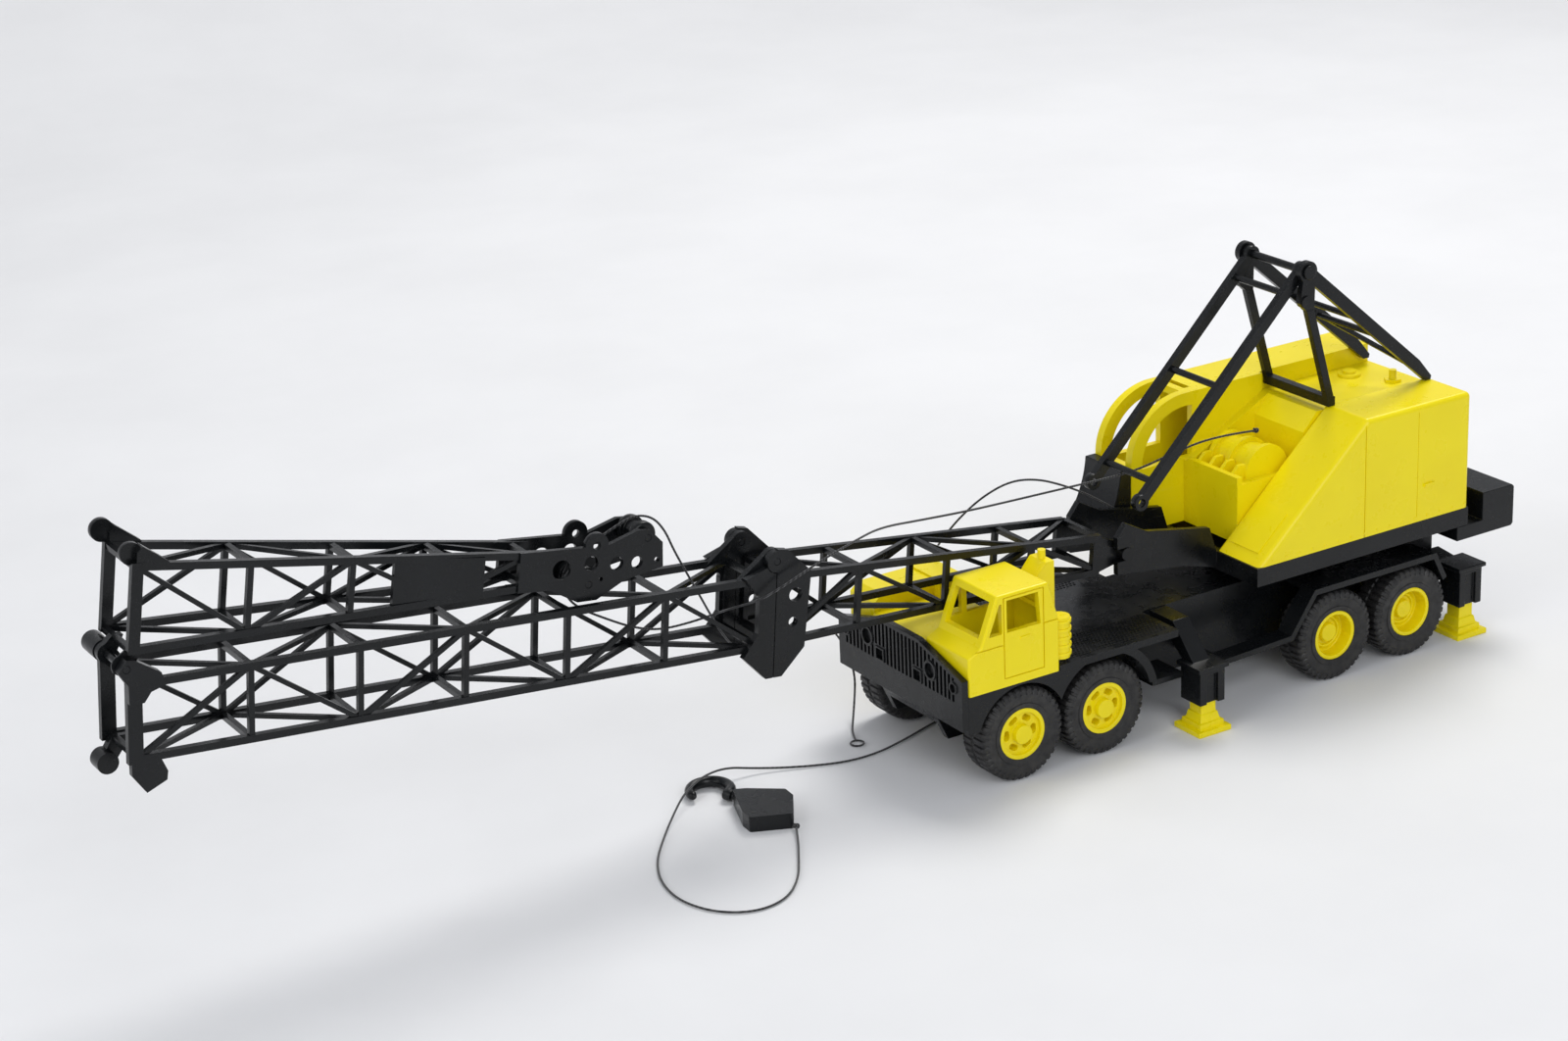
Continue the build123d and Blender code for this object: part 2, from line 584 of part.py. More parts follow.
with BuildPart() as house_shell:
    add(open_box(NEAR_BOX, 9.0, BASE_HALF, HOUSE_WALL, 1.3))
    add(open_box(CENTRE_BOX, -11.9, 9.1, HOUSE_WALL))
    add(open_box(FAR_HOUSE, -BASE_HALF, -11.8, HOUSE_WALL))
    # operator cab: its roof falls to the front in a quarter ellipse
    for wall, mode in ((0.0, Mode.ADD), (HOUSE_WALL, Mode.SUBTRACT)):
        with BuildSketch(VEHICLE.offset(-CAB_SIDE[1] + wall)):
            with BuildLine():
                Polyline(
                    (15.0, 65.0 - wall), (-8.1 + wall, 65.0 - wall), (-8.1 + wall, BASE_TOP),
                    (31.0 - wall, BASE_TOP), (31.0 - wall, 50.0),
                )
                EllipticalCenterArc((15.0, 50.0), 16.0 - wall, 15.0 - wall, 0, arc_size=90)
            make_face()
        extrude(amount=CAB_SIDE[1] - CAB_SIDE[0] - 2 * wall, mode=mode)
    # windscreen between the two arched pillars, then the side windows
    add(slab(VEHICLE, OPERATOR_WINDSCREEN, -22.0, -12.7), mode=Mode.SUBTRACT)
    with BuildSketch(VEHICLE.offset(9.0)):
        with Locations((15.0, 49.0)):
            Ellipse(12.8, 12.8)
        with Locations((28.0, 49.0)):
            Rectangle(30.0, 40.0, mode=Mode.INTERSECT)
        with Locations((20.0, 39.0)):
            Rectangle(40.0, 20.0, mode=Mode.SUBTRACT)
    extrude(amount=17.0, mode=Mode.SUBTRACT)
    add(slab(VEHICLE, [(7.0, 60.0), (13.0, 60.0), (13.0, 67.0)], -21.0, -13.5), mode=Mode.SUBTRACT)
    # winch drums and their ribs, moulded into the pocket
    add(rod(VEHICLE, DRUM, 5.2, -7.0, 7.0))
    for y in (-7.0, -1.0, 5.6):
        add(rod(VEHICLE, DRUM, 6.2, y, y + 1.4))
    # pocket front wall with its guide ribs, and the sloping rim on the operator's side
    add(block((14.0, 15.5), (-9.0, 9.0), (45.8, 49.4)))
    for rib in range(4):
        add(slab(VEHICLE, POCKET_RIB, 4.0 * rib - 6.9, 4.0 * rib - 5.9))
    add(slab(VEHICLE, POCKET_RIM, -10.6, -8.2))
    # raised panel on the sloping nose
    add(slab(VEHICLE, NOSE_PANEL, 11.0, 21.0))
    # roof dome and the six-sided filler with its pipe beside it
    for radius, low, high in ((2.8, 60.6, 61.3), (1.6, 61.3, 61.9)):
        with BuildSketch(level(low)):
            with Locations((-31.5, -6.2)):
                Circle(radius)
        extrude(amount=high - low)
    with BuildSketch(level(60.6)):
        with Locations((-36.3, 3.65)):
            RegularPolygon(2.1, 6)
    extrude(amount=0.7)
    with BuildSketch(level(61.3)):
        with Locations((-36.3, 3.65)):
            Circle(0.9)
    extrude(amount=2.2)
    # door handle on the outer wall
    add(block((-31.0, -28.0), (BASE_HALF - 0.1, BASE_HALF + 0.5), (41.6, 42.4)))
save(house_shell, "house_shell")

with BuildPart() as cab_fairing:
    with BuildSketch(VEHICLE.offset(-CAB_SIDE[1])):
        with BuildLine():
            Polyline((31.1, 50.0), (31.1, BASE_TOP), (36.0, BASE_TOP), (38.0, 38.0))
            ThreePointArc((38.0, 38.0), (35.0, 44.6), (34.0, 50.0))
            Line((34.0, 50.0), (31.1, 50.0))
        make_face()
    extrude(amount=CAB_SIDE[1] - CAB_SIDE[0])
save(cab_fairing, "cab_fairing")

with BuildPart() as counterweight:
    add(block((COUNTERWEIGHT_REAR, -39.0), (-BASE_HALF, BASE_HALF), (25.2, BASE_BOTTOM)))
    add(block((COUNTERWEIGHT_REAR, -47.0), (-BASE_HALF, BASE_HALF), (BASE_BOTTOM, 35.7)))
    chamfer(counterweight.edges().filter_by(Axis.Y).sort_by(Axis.X)[:2], 0.6)
save(counterweight, "counterweight")

# ---------------------------------------------------------------- gantry and mast

FRONT_LEG = [(-11.4, 63.0), (-9.4, 63.0), (-2.6, 86.6), (-4.8, 86.6)]

with BuildPart() as gantry_front_frame:
    add(block((-11.5, -9.3), (-GANTRY_SIDE[1], GANTRY_SIDE[1]), (62.0, 64.2)))
    for side in (-1, 1):
        add(slab(VEHICLE, FRONT_LEG, *across(side, *GANTRY_SIDE)))
save(gantry_front_frame, "gantry_front_frame")

BACKSTAY = [(-3.9, 96.9), (-37.4, 67.6), (-41.2, 63.0), (-41.0, 62.1), (-39.4, 62.1), (-2.0, 94.5)]
HEAD_BRACKET = [(-5.0, 94.0), (-1.4, 94.0), (-0.6, 88.6), (-2.4, 86.6), (-4.8, 86.6)]
BRACKET_BOSS = (-2.3, 88.7)

with BuildPart() as gantry_rear_frame:
    for side in (-1, 1):
        leg = across(side, *GANTRY_SIDE)
        add(slab(VEHICLE, BACKSTAY, *leg))
        add(slab(VEHICLE, HEAD_BRACKET, *leg))
        add(rod(VEHICLE, BRACKET_BOSS, 1.5, *across(side, GANTRY_SIDE[0], GANTRY_SIDE[1] + 0.45)))
        add(rod(VEHICLE, MAST_PIVOT, 2.5, *leg))
        add(rod(VEHICLE, MAST_PIVOT, MAST_PIN_RADIUS, *leg), mode=Mode.SUBTRACT)
    # two crossbars between the stays and the diagonal below them
    for crossbar in ((-18.4, 81.6), (-24.6, 76.2)):
        add(rod(VEHICLE, crossbar, 0.75, -GANTRY_SIDE[1], GANTRY_SIDE[1]))
    add(beam(place(VEHICLE, -24.0, -10.7, 77.0), place(VEHICLE, -37.5, 10.7, 65.2), 1.1))
save(gantry_rear_frame, "gantry_rear_frame")

with BuildPart() as mast_pin:
    add(rod(VEHICLE, MAST_PIVOT, MAST_PIN_RADIUS, -GANTRY_SIDE[1], GANTRY_SIDE[1]))
    for side in (-1, 1):
        add(rod(VEHICLE, MAST_PIVOT, 1.7, *across(side, GANTRY_SIDE[1], GANTRY_SIDE[1] + 0.7)))
save(mast_pin, "mast_pin")

MAST_DROP = Vector(MAST_END[0] - MAST_PIVOT[0], 0, MAST_END[1] - MAST_PIVOT[1])
MAST_ANGLE = degrees(atan2(MAST_DROP.Z, MAST_DROP.X))
MAST = tilted(place(VEHICLE, MAST_PIVOT[0], 0, MAST_PIVOT[1]), MAST_ANGLE)
RAIL_HALF = 1.25
RUNGS = (6.75, 33.05, 59.55)
RAIL = [
    (0, -RAIL_HALF), (MAST_DROP.length, -RAIL_HALF), (MAST_DROP.length, RAIL_HALF), (0, RAIL_HALF),
]

with BuildPart() as live_mast:
    for low, high in (MAST_RAIL, (-MAST_RAIL[1], -MAST_RAIL[0])):
        add(slab(MAST, RAIL, low, high))
        for along in (0.0, MAST_DROP.length):
            add(rod(MAST, (along, 0), 1.9, low, high))
            add(rod(MAST, (along, 0), MAST_PIN_RADIUS + RUNNING_CLEARANCE, low, high), mode=Mode.SUBTRACT)
    for along in RUNGS:
        add(rod(MAST, (along, 0), 0.8, -MAST_RAIL[1], MAST_RAIL[1]))
save(live_mast, "live_mast")

# ---------------------------------------------------------------- boom base section


def base_height(u):
    """Half the height of the base section between chord lines."""
    return FOOT_HALF_HEIGHT + (BOOM_HALF_HEIGHT - FOOT_HALF_HEIGHT) * u / SEAM


base_bars = truss(BOOM, BASE_STATIONS, lambda u: BASE_HALF_WIDTH, base_height, True)
FOOT_CHEEK = [(0.0, -2.2), (8.0, -4.6), (8.0, 4.6), (0.0, 2.2)]
BASE_PLATE = [(84.5, 8.4), (90.6, 13.9), (SEAM - 0.1, 14.3), (SEAM - 0.1, -14.4), (91.0, -14.4), (85.5, -8.5)]

with BuildPart() as boom_base:
    add(base_bars)
    for side in (-1, 1):
        plate = across(side, PLATE_INNER, PLATE_OUTER)
        cheek = across(side, 6.2, 7.7)
        add(slab(BOOM, FOOT_CHEEK, *cheek))
        add(rod(BOOM, (0, 0), 2.4, *cheek))
        add(rod(BOOM, (0, 0), TRUNNION_RADIUS, *across(side, 6.5, 9.9)))
        add(slab(BOOM, BASE_PLATE, *plate))
        add(rod(BOOM, FOLD_HINGE, HINGE_LUG_RADIUS, *plate))
        for centre, radius in ((FOLD_HINGE, HINGE_PIN_RADIUS), ((88.2, 3.6), 1.6), ((88.6, -2.45), 1.1)):
            add(rod(BOOM, centre, radius, *plate), mode=Mode.SUBTRACT)
save(boom_base, "boom_base")

with BuildPart() as joint_pins:
    for side in (-1, 1):
        add(rod(BOOM, FOLD_HINGE, HINGE_PIN_RADIUS, *across(side, LUG_INNER, PLATE_OUTER)))
save(joint_pins, "joint_pins")

# ---------------------------------------------------------------- boom middle section

mid_bars = truss(BOOM, MID_STATIONS, lambda u: MID_HALF_WIDTH, lambda u: BOOM_HALF_HEIGHT, True)
MID_PLATE = [
    (SEAM + 0.1, -14.4), (95.0, -14.4), (100.7, -9.0), (97.2, -4.0), (97.2, 4.0), (100.7, 8.6), (95.4, 10.6),
    (SEAM + 0.1, 12.0),
]
FOLD_LUG = [(96.0, 6.9), (102.5, 6.9), (95.0, 13.0), (91.0, 10.6), (92.4, 9.4)]
END_POST = [(233.4, -8.4), (236.4, -8.4), (236.4, 8.0), (233.4, 8.0)]
NEAR_LUG = [
    (229.0, 7.2), (232.0, 6.2), (233.4, 4.2), (236.4, 4.2), (236.5, 8.0), (238.4, 10.8), (236.8, 13.2),
    (235.2, 13.0), (229.9, 9.8),
]
NEAR_FOOT = [(230.4, -7.0), (228.6, -10.8), (228.8, -12.6), (232.9, -14.6), (235.8, -10.8), (235.9, -7.0)]
FAR_LUG = [(231.0, 7.0), (235.0, 7.0), (237.6, 11.4), (235.0, 12.6)]
FAR_FOOT = [(231.0, -7.0), (235.0, -7.0), (237.6, -12.0), (235.0, -13.0)]

with BuildPart() as boom_mid:
    add(mid_bars)
    for side in (-1, 1):
        plate = across(side, PLATE_INNER, PLATE_OUTER)
        lug = across(side, LUG_INNER, LUG_OUTER)
        add(slab(BOOM, MID_PLATE, *plate))
        add(rod(BOOM, FOLD_HINGE, HINGE_LUG_RADIUS + 0.2, *plate), mode=Mode.SUBTRACT)
        add(rod(BOOM, (98.0, 4.0), 0.9, *plate), mode=Mode.SUBTRACT)
        # lug inside the seam plates, round the fold hinge
        add(slab(BOOM, FOLD_LUG, *lug))
        add(rod(BOOM, FOLD_HINGE, HINGE_LUG_RADIUS, *lug))
        add(rod(BOOM, FOLD_HINGE, HINGE_PIN_RADIUS + RUNNING_CLEARANCE, *lug), mode=Mode.SUBTRACT)
        add(slab(BOOM, END_POST, *across(side, 6.3, 7.8)))
    # near side of the tip hinge and the pointed foot below it
    add(slab(BOOM, NEAR_LUG, 6.6, PLATE_OUTER))
    add(slab(BOOM, NEAR_FOOT, 6.3, 7.8))
    # far side: a barrel round the tip hinge and the knob of the lower latch
    add(rod(BOOM, TIP_HINGE, KNOB_RADIUS, -9.1, -3.0))
    add(slab(BOOM, FAR_LUG, -7.7, -5.0))
    add(rod(BOOM, (236.74, -11.6), KNOB_RADIUS, -6.4, -2.4))
    add(slab(BOOM, FAR_FOOT, -6.4, -4.4))
    add(rod(BOOM, TIP_HINGE, HINGE_PIN_RADIUS, -10.0, 10.0), mode=Mode.SUBTRACT)
save(boom_mid, "boom_mid")

with BuildPart() as tip_hinge_pin:
    add(rod(BOOM, TIP_HINGE, HINGE_PIN_RADIUS, -9.1, PLATE_OUTER))
save(tip_hinge_pin, "tip_hinge_pin")

# ---------------------------------------------------------------- boom tip section


def tip_height(a):
    """Half the height of the tip section between chord lines."""
    return TIP_ROOT_HEIGHT - TIP_DROP * (a - TIP_STATIONS[0])


def tip_width(a):
    """Half the width of the tip section between chord lines."""
    share = (a - TIP_STATIONS[0]) / (TIP_STATIONS[-1] - TIP_STATIONS[0])
    return TIP_ROOT_WIDTH + (TIP_HEAD_WIDTH - TIP_ROOT_WIDTH) * share


tip_bars = truss(TIP, TIP_STATIONS, tip_width, tip_height, True)
TIP_POST = [(0.6, -9.0), (2.9, -9.0), (2.9, 8.9), (0.6, 8.9)]
HEAD_OUTLINE = [
    (84.0, -4.2), (104.0, -4.5), (111.0, -7.3), (113.6, -7.3), (117.0, -4.4), (117.6, 0.9), (108.7, 3.2),
    (102.4, 7.0), (98.0, 7.2), (91.4, 4.2), (84.0, 4.2),
]
HEAD_HOLES = [
    (93.7, 0.0, 2.1), (100.5, -0.9, 1.6), (106.5, -0.5, 1.5), (111.3, -0.4, 1.3), (103.0, 2.6, 0.5),
    (116.0, -0.7, 0.6),
]
HEAD_EYE = (101.5, -4.6)
NAME_PLATE = [(56.0, -5.0), (76.0, -4.0), (76.0, 4.0), (56.0, 5.0)]
HINGE_LEAF = [(1.0, 8.0), (5.0, 8.0), (2.0, 11.6), (-1.6, 12.8), (-1.8, 10.4)]
HINGE_TAB = [(0.8, 7.8), (3.0, 7.8), (1.6, 12.0), (-1.0, 10.0)]
LATCH_TAIL = [(1.5, -8.0), (8.0, -8.2), (8.0, -8.9), (2.6, -12.2), (1.5, -11.0)]

with BuildPart() as boom_tip:
    add(tip_bars)
    for side in (-1, 1):
        plate = across(side, *HEAD_PLATE)
        add(slab(TIP, HEAD_OUTLINE, *plate))
        add(rod(TIP, HEAD_EYE, 2.7, *plate))
        add(rod(TIP, HEAD_EYE, 0.85, *plate), mode=Mode.SUBTRACT)
        for a, b, radius in HEAD_HOLES:
            add(rod(TIP, (a, b), radius, *plate), mode=Mode.SUBTRACT)
        for centre in (HEAD_SHEAVE, GUIDE_SHEAVE):
            add(rod(TIP, centre, SHEAVE_PIN_RADIUS, *plate), mode=Mode.SUBTRACT)
        # the chords run on into the head plates
        for rise in (-1, 1):
            chord_end = [(82.0, rise * 4.2), (90.0, rise * 4.0), (90.0, rise * 2.6), (82.0, rise * 2.8)]
            add(slab(TIP, chord_end, *across(side, 3.0, 4.5)))
        add(slab(TIP, TIP_POST, *across(side, 6.3, 7.8)))
    # blank name plate on the near side
    add(slab(TIP, NAME_PLATE, 4.2, 5.3))
    # hinge lugs, which sit between those of the middle section
    for outline, low, high in ((HINGE_LEAF, 5.9, 6.4), (HINGE_TAB, -2.8, -1.0)):
        add(slab(TIP, outline, low, high))
        add(rod(TIP, (0.0, TIP_HINGE[1]), 2.0, low, high))
        hinge_hole = rod(TIP, (0.0, TIP_HINGE[1]), HINGE_PIN_RADIUS + RUNNING_CLEARANCE, low, high)
        add(hinge_hole, mode=Mode.SUBTRACT)
    # rounded latch lugs at the edge away from the hinge
    add(rod(TIP, (0.9, -10.4), 2.2, 4.9, 6.2))
    add(slab(TIP, LATCH_TAIL, 4.9, 7.7))
    add(rod(TIP, (0.2, -11.2), 2.3, -8.4, -7.0))
    add(slab(TIP, LATCH_TAIL, -8.4, -6.4))
save(boom_tip, "boom_tip")


def sheave(name, centre, radius):
    """A wide grooved roller on the tip section."""
    plane = TIP.offset(-SHEAVE_HALF)
    with BuildPart() as build:
        with BuildSketch(plane):
            with Locations(centre):
                Circle(radius)
        extrude(amount=2 * SHEAVE_HALF)
        chamfer(build.edges().filter_by(GeomType.CIRCLE), 0.4)
        with BuildSketch(TIP.offset(-1.6)):
            with Locations(centre):
                Circle(radius)
                Circle(radius - 0.8, mode=Mode.SUBTRACT)
        extrude(amount=3.2, mode=Mode.SUBTRACT)
        with BuildSketch(plane):
            with Locations(centre):
                Circle(SHEAVE_PIN_RADIUS + RUNNING_CLEARANCE)
        extrude(amount=2 * SHEAVE_HALF, mode=Mode.SUBTRACT)
    save(build, name)


for name, centre, radius in (
    ("head_sheave", HEAD_SHEAVE, HEAD_SHEAVE_RADIUS),
    ("guide_sheave", GUIDE_SHEAVE, GUIDE_SHEAVE_RADIUS),
):
    sheave(name, centre, radius)
    with BuildPart() as sheave_pin:
        add(rod(TIP, centre, SHEAVE_PIN_RADIUS, -HEAD_PLATE[1], HEAD_PLATE[1]))
    save(sheave_pin, f"{name}_pin")

# ---------------------------------------------------------------- hook block and hook

BLOCK_OUTLINE = [
    (143.2, -2.8), (136.6, 2.6), (136.9, 6.3), (141.7, 14.0), (150.3, 10.0), (150.0, 6.4), (146.0, -4.3),
]
HOOK_DIRECTION = Vector(cos(radians(HOOK_ANGLE)), sin(radians(HOOK_ANGLE)), 0)
EYE = Vector(SLEW_X + HOOK_EYE[0], HOOK_EYE[1], HOOK_AXIS_HEIGHT)

with BuildPart() as hook_block:
    with BuildSketch(level(0.0)):
        Polygon(*BLOCK_OUTLINE, align=None)
    extrude(amount=BLOCK_THICK)
    fillet(hook_block.edges().filter_by(Axis.Z), 0.7)
    with BuildSketch(Plane(origin=EYE + HOOK_DIRECTION * 3.0, z_dir=HOOK_DIRECTION)):
        Circle(STEM_RADIUS + RUNNING_CLEARANCE)
    extrude(amount=-7.0, mode=Mode.SUBTRACT)
save(hook_block, "hook_block")

HOOK_CENTRE = EYE + HOOK_DIRECTION * HOOK_REACH
HOOK_START = HOOK_ANGLE + 180.0
HOOK_SWEEP = 262.0

with BuildPart() as hook:
    with BuildLine():
        hook_line_path = CenterArc(HOOK_CENTRE, HOOK_RADIUS, HOOK_START, HOOK_SWEEP)
    with BuildSketch(Plane(origin=hook_line_path @ 0, z_dir=hook_line_path % 0)):
        Circle(HOOK_BAR)
    sweep()
    with BuildSketch(Plane(origin=EYE + HOOK_DIRECTION * 1.5, z_dir=HOOK_DIRECTION)):
        Circle(HOOK_BAR)
    extrude(amount=HOOK_REACH - HOOK_RADIUS - 1.5)
    with BuildSketch(Plane(origin=EYE + HOOK_DIRECTION * 1.5, z_dir=HOOK_DIRECTION)):
        Circle(STEM_RADIUS)
    extrude(amount=-4.5)
save(hook, "hook")

# ---------------------------------------------------------------- threads


def corner_radii(points):
    """Radius at each inner corner of a route, so that its arc uses at most 0.45 of the shorter run."""
    radii = []
    for before, here, after in zip(points, points[1:], points[2:]):
        turn = (here - before).get_angle(after - here)
        shorter = min((here - before).length, (after - here).length)
        radii.append(0.45 * shorter / tan(radians(turn / 2)))
    return radii


def thread(name, route):
    """A limp thread: straight runs joined by tangent arcs through a hand-chosen route."""
    points = [Vector(SLEW_X + x, y, z) for x, y, z in route]
    radii = corner_radii(points)
    with BuildPart() as build:
        with BuildLine():
            path = FilletPolyline(*points, radius=radii)
        with BuildSketch(Plane(origin=path @ 0, z_dir=path % 0)):
            Circle(THREAD / 2)
        sweep()
    length = path.length
    share = build.part.volume / (length * pi * THREAD**2 / 4)
    print(name, "length", round(length, 1), "volume share", round(share, 4))
    print("  radii", [round(radius, 1) for radius in radii])
    save(build, name)


# The hoist thread runs from the winch along the boom, through the near face of the middle section,
# round the guide and head sheaves, down through the lattice and past the bumper to the floor.
HOIST_ROUTE = [
    (3.5, 0.0, 55.9), (13.8, -1.0, 56.6), (24.6, -2.0, 55.0), (36.0, -3.0, 52.4), (50.2, -4.0, 52.4),
    (69.3, -3.0, 53.4), (84.6, -1.0, 54.8), (98.0, 0.6, 56.4), (111.0, 5.0, 59.2), (120.4, 9.8, 60.0),
    (130.2, 11.4, 58.3), (138.1, 11.6, 55.6), (145.0, 10.4, 52.6), (150.6, 6.0, 50.6), (158.0, 3.2, 48.6),
    (165.2, 2.0, 48.3), (171.1, 1.0, 50.2), (176.9, 0.2, 53.5), (181.2, 0.0, 56.2), (184.5, 0.0, 59.1),
    (186.2, 0.0, 63.4), (184.6, 0.0, 67.4), (179.2, 0.0, 70.2), (173.2, 0.0, 72.6), (168.4, 0.0, 74.2),
    (164.0, 0.0, 72.9), (161.4, 0.4, 69.4), (160.3, 1.6, 65.2), (158.6, 2.9, 60.6), (155.9, 3.1, 54.9),
    (152.2, 1.2, 48.4), (148.6, 0.4, 41.9), (144.3, -2.4, 37.2), (137.5, -5.6, 33.9), (129.9, -9.6, 32.6),
    (122.5, -12.4, 31.4), (116.7, -15.0, 29.0), (111.6, -18.6, 26.8), (106.6, -23.6, 24.6),
    (102.2, -28.2, 20.6), (98.9, -29.2, 15.2), (97.6, -28.6, 9.2), (99.2, -26.8, 4.2), (102.4, -22.8, 1.2),
    (105.4, -18.6, 0.4), (106.8, -15.0, 0.4),
]
# The hook thread comes from the superstructure, drops behind the cab, passes between the front
# wheels on the floor, crosses the hook and loops round to the block.
HOOK_ROUTE = [
    (36.0, -10.08, 41.2), (42.4, -10.7, 45.8), (49.6, -11.6, 49.8), (57.0, -12.0, 53.0), (64.3, -12.4, 54.0),
    (71.0, -14.0, 51.2), (75.4, -17.0, 46.2), (77.0, -20.8, 41.0), (76.8, -25.4, 36.0), (76.6, -28.4, 28.4),
    (76.8, -29.2, 19.0), (77.1, -28.6, 10.2), (77.3, -25.8, 3.8), (78.0, -20.8, 1.2), (80.4, -16.0, 0.5),
    (84.8, -12.9, 0.4), (91.0, -10.8, 0.4), (98.6, -8.2, 0.4), (106.6, -6.2, 0.4), (114.2, -6.4, 0.4),
    (121.2, -9.0, 0.4), (128.0, -12.2, 0.6), (134.6, -14.8, 1.4), (141.0, -15.4, 3.2), (148.2, -13.2, 4.0),
    (155.4, -9.0, 3.6), (161.8, -3.6, 1.6), (168.0, 3.0, 0.6), (173.8, 10.4, 0.4), (178.0, 19.4, 0.4),
    (179.0, 29.0, 0.4), (175.6, 37.8, 0.4), (168.6, 42.6, 0.4), (160.6, 41.4, 0.4), (153.8, 35.0, 0.4),
    (148.6, 26.8, 0.6), (144.8, 20.6, 0.8), (142.24, 15.79, 0.95),
]
HOIST_KNOT = (2.6, 0.0, 55.86)
HOOK_KNOT = (141.8, 15.0, 0.95)
KNOT_RADIUS = 0.9
EYE_RADIUS = 1.5

thread("hoist_line", HOIST_ROUTE)
thread("hook_line", HOOK_ROUTE)

for name, (x, y, z) in (("hoist_line_knot", HOIST_KNOT), ("hook_line_knot", HOOK_KNOT)):
    with BuildPart(Plane(origin=(SLEW_X + x, y, z))) as knot:
        Sphere(KNOT_RADIUS)
    save(knot, name)

# small eye tied at the loose end of the hoist thread, lying on the floor
eye_start = Vector(SLEW_X + HOIST_ROUTE[-1][0], HOIST_ROUTE[-1][1], HOIST_ROUTE[-1][2])
eye_run = eye_start - Vector(SLEW_X + HOIST_ROUTE[-2][0], HOIST_ROUTE[-2][1], HOIST_ROUTE[-2][2])
eye_centre = eye_start + eye_run.normalized() * (EYE_RADIUS + THREAD * 0.55)
with BuildPart(Plane(origin=eye_centre)) as hoist_line_eye:
    Torus(EYE_RADIUS, THREAD / 2)
save(hoist_line_eye, "hoist_line_eye")
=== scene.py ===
import json
from math import cos, pi, radians, sin

import bmesh
import bpy
from mathutils import Matrix, Vector

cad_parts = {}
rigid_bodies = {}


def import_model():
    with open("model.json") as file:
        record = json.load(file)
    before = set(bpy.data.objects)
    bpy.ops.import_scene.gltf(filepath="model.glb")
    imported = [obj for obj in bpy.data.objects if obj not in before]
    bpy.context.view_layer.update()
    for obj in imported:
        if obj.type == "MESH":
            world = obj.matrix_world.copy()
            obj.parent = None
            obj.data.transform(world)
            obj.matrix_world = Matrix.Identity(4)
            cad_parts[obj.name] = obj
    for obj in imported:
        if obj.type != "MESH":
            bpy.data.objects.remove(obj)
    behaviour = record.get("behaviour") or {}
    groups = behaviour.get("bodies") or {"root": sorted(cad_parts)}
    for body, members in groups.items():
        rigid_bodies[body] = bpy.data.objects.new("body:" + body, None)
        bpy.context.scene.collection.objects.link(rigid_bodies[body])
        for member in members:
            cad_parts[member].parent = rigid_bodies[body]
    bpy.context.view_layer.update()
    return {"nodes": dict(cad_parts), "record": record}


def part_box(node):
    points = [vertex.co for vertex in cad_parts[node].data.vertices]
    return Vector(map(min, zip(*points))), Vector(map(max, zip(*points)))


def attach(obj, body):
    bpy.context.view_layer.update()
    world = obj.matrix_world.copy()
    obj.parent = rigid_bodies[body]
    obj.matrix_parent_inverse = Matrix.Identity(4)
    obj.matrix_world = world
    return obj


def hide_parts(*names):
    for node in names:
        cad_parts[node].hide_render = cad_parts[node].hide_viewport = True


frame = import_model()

# Toy lattice-boom crane truck. Lengths are in millimetres where a name ends in _MM or a value is
# multiplied by MM, and in metres elsewhere. Vehicle x counts from the slewing axis, as in the CAD.

MM = 0.001
SLEW_X = -115.0
THREAD_MM = 0.5


def spot(x, y, z):
    """The point of the frame at vehicle coordinates in millimetres."""
    return Vector(((SLEW_X + x) * MM, y * MM, z * MM))


# ---------------------------------------------------------------- camera

CAMERA_PLACE = (0.34899, 0.54907, 0.30717)
CAMERA_YAW = radians(31.15)
CAMERA_PITCH = radians(20.73)
CAMERA_ROLL = radians(-2.73)
CAMERA_LENS = 73.99


def add_camera():
    """A camera at the viewing angle of a long lens, slightly above the boom's tip."""
    forward = Vector((
        -sin(CAMERA_YAW) * cos(CAMERA_PITCH), -cos(CAMERA_YAW) * cos(CAMERA_PITCH), -sin(CAMERA_PITCH)
    ))
    level_right = Vector((-cos(CAMERA_YAW), sin(CAMERA_YAW), 0))
    level_up = level_right.cross(forward)
    right = cos(CAMERA_ROLL) * level_right + sin(CAMERA_ROLL) * level_up
    up = cos(CAMERA_ROLL) * level_up - sin(CAMERA_ROLL) * level_right
    camera = bpy.data.objects.new("camera", bpy.data.cameras.new("camera"))
    bpy.context.scene.collection.objects.link(camera)
    turn = Matrix((right, up, -forward)).transposed()
    camera.matrix_world = Matrix.Translation(CAMERA_PLACE) @ turn.to_4x4()
    camera.data.lens = CAMERA_LENS
    camera.data.sensor_width = 36
    camera.data.clip_start = 0.01
    bpy.context.scene.camera = camera


add_camera()

# ---------------------------------------------------------------- materials


def new_material(name):
    """A material, its shader, and functions that add a node and join two sockets."""
    material = bpy.data.materials.new(name)
    material.use_nodes = True
    tree = material.node_tree
    return material, tree.nodes["Principled BSDF"], tree.nodes.new, tree.links.new


def noise(node, link, coords, scale, detail=3.0, roughness=0.55):
    """A noise texture on object coordinates in metres; returns its factor."""
    texture = node("ShaderNodeTexNoise")
    texture.inputs["Scale"].default_value = scale
    texture.inputs["Detail"].default_value = detail
    texture.inputs["Roughness"].default_value = roughness
    link(coords, texture.inputs["Vector"])
    return texture.outputs["Fac"]


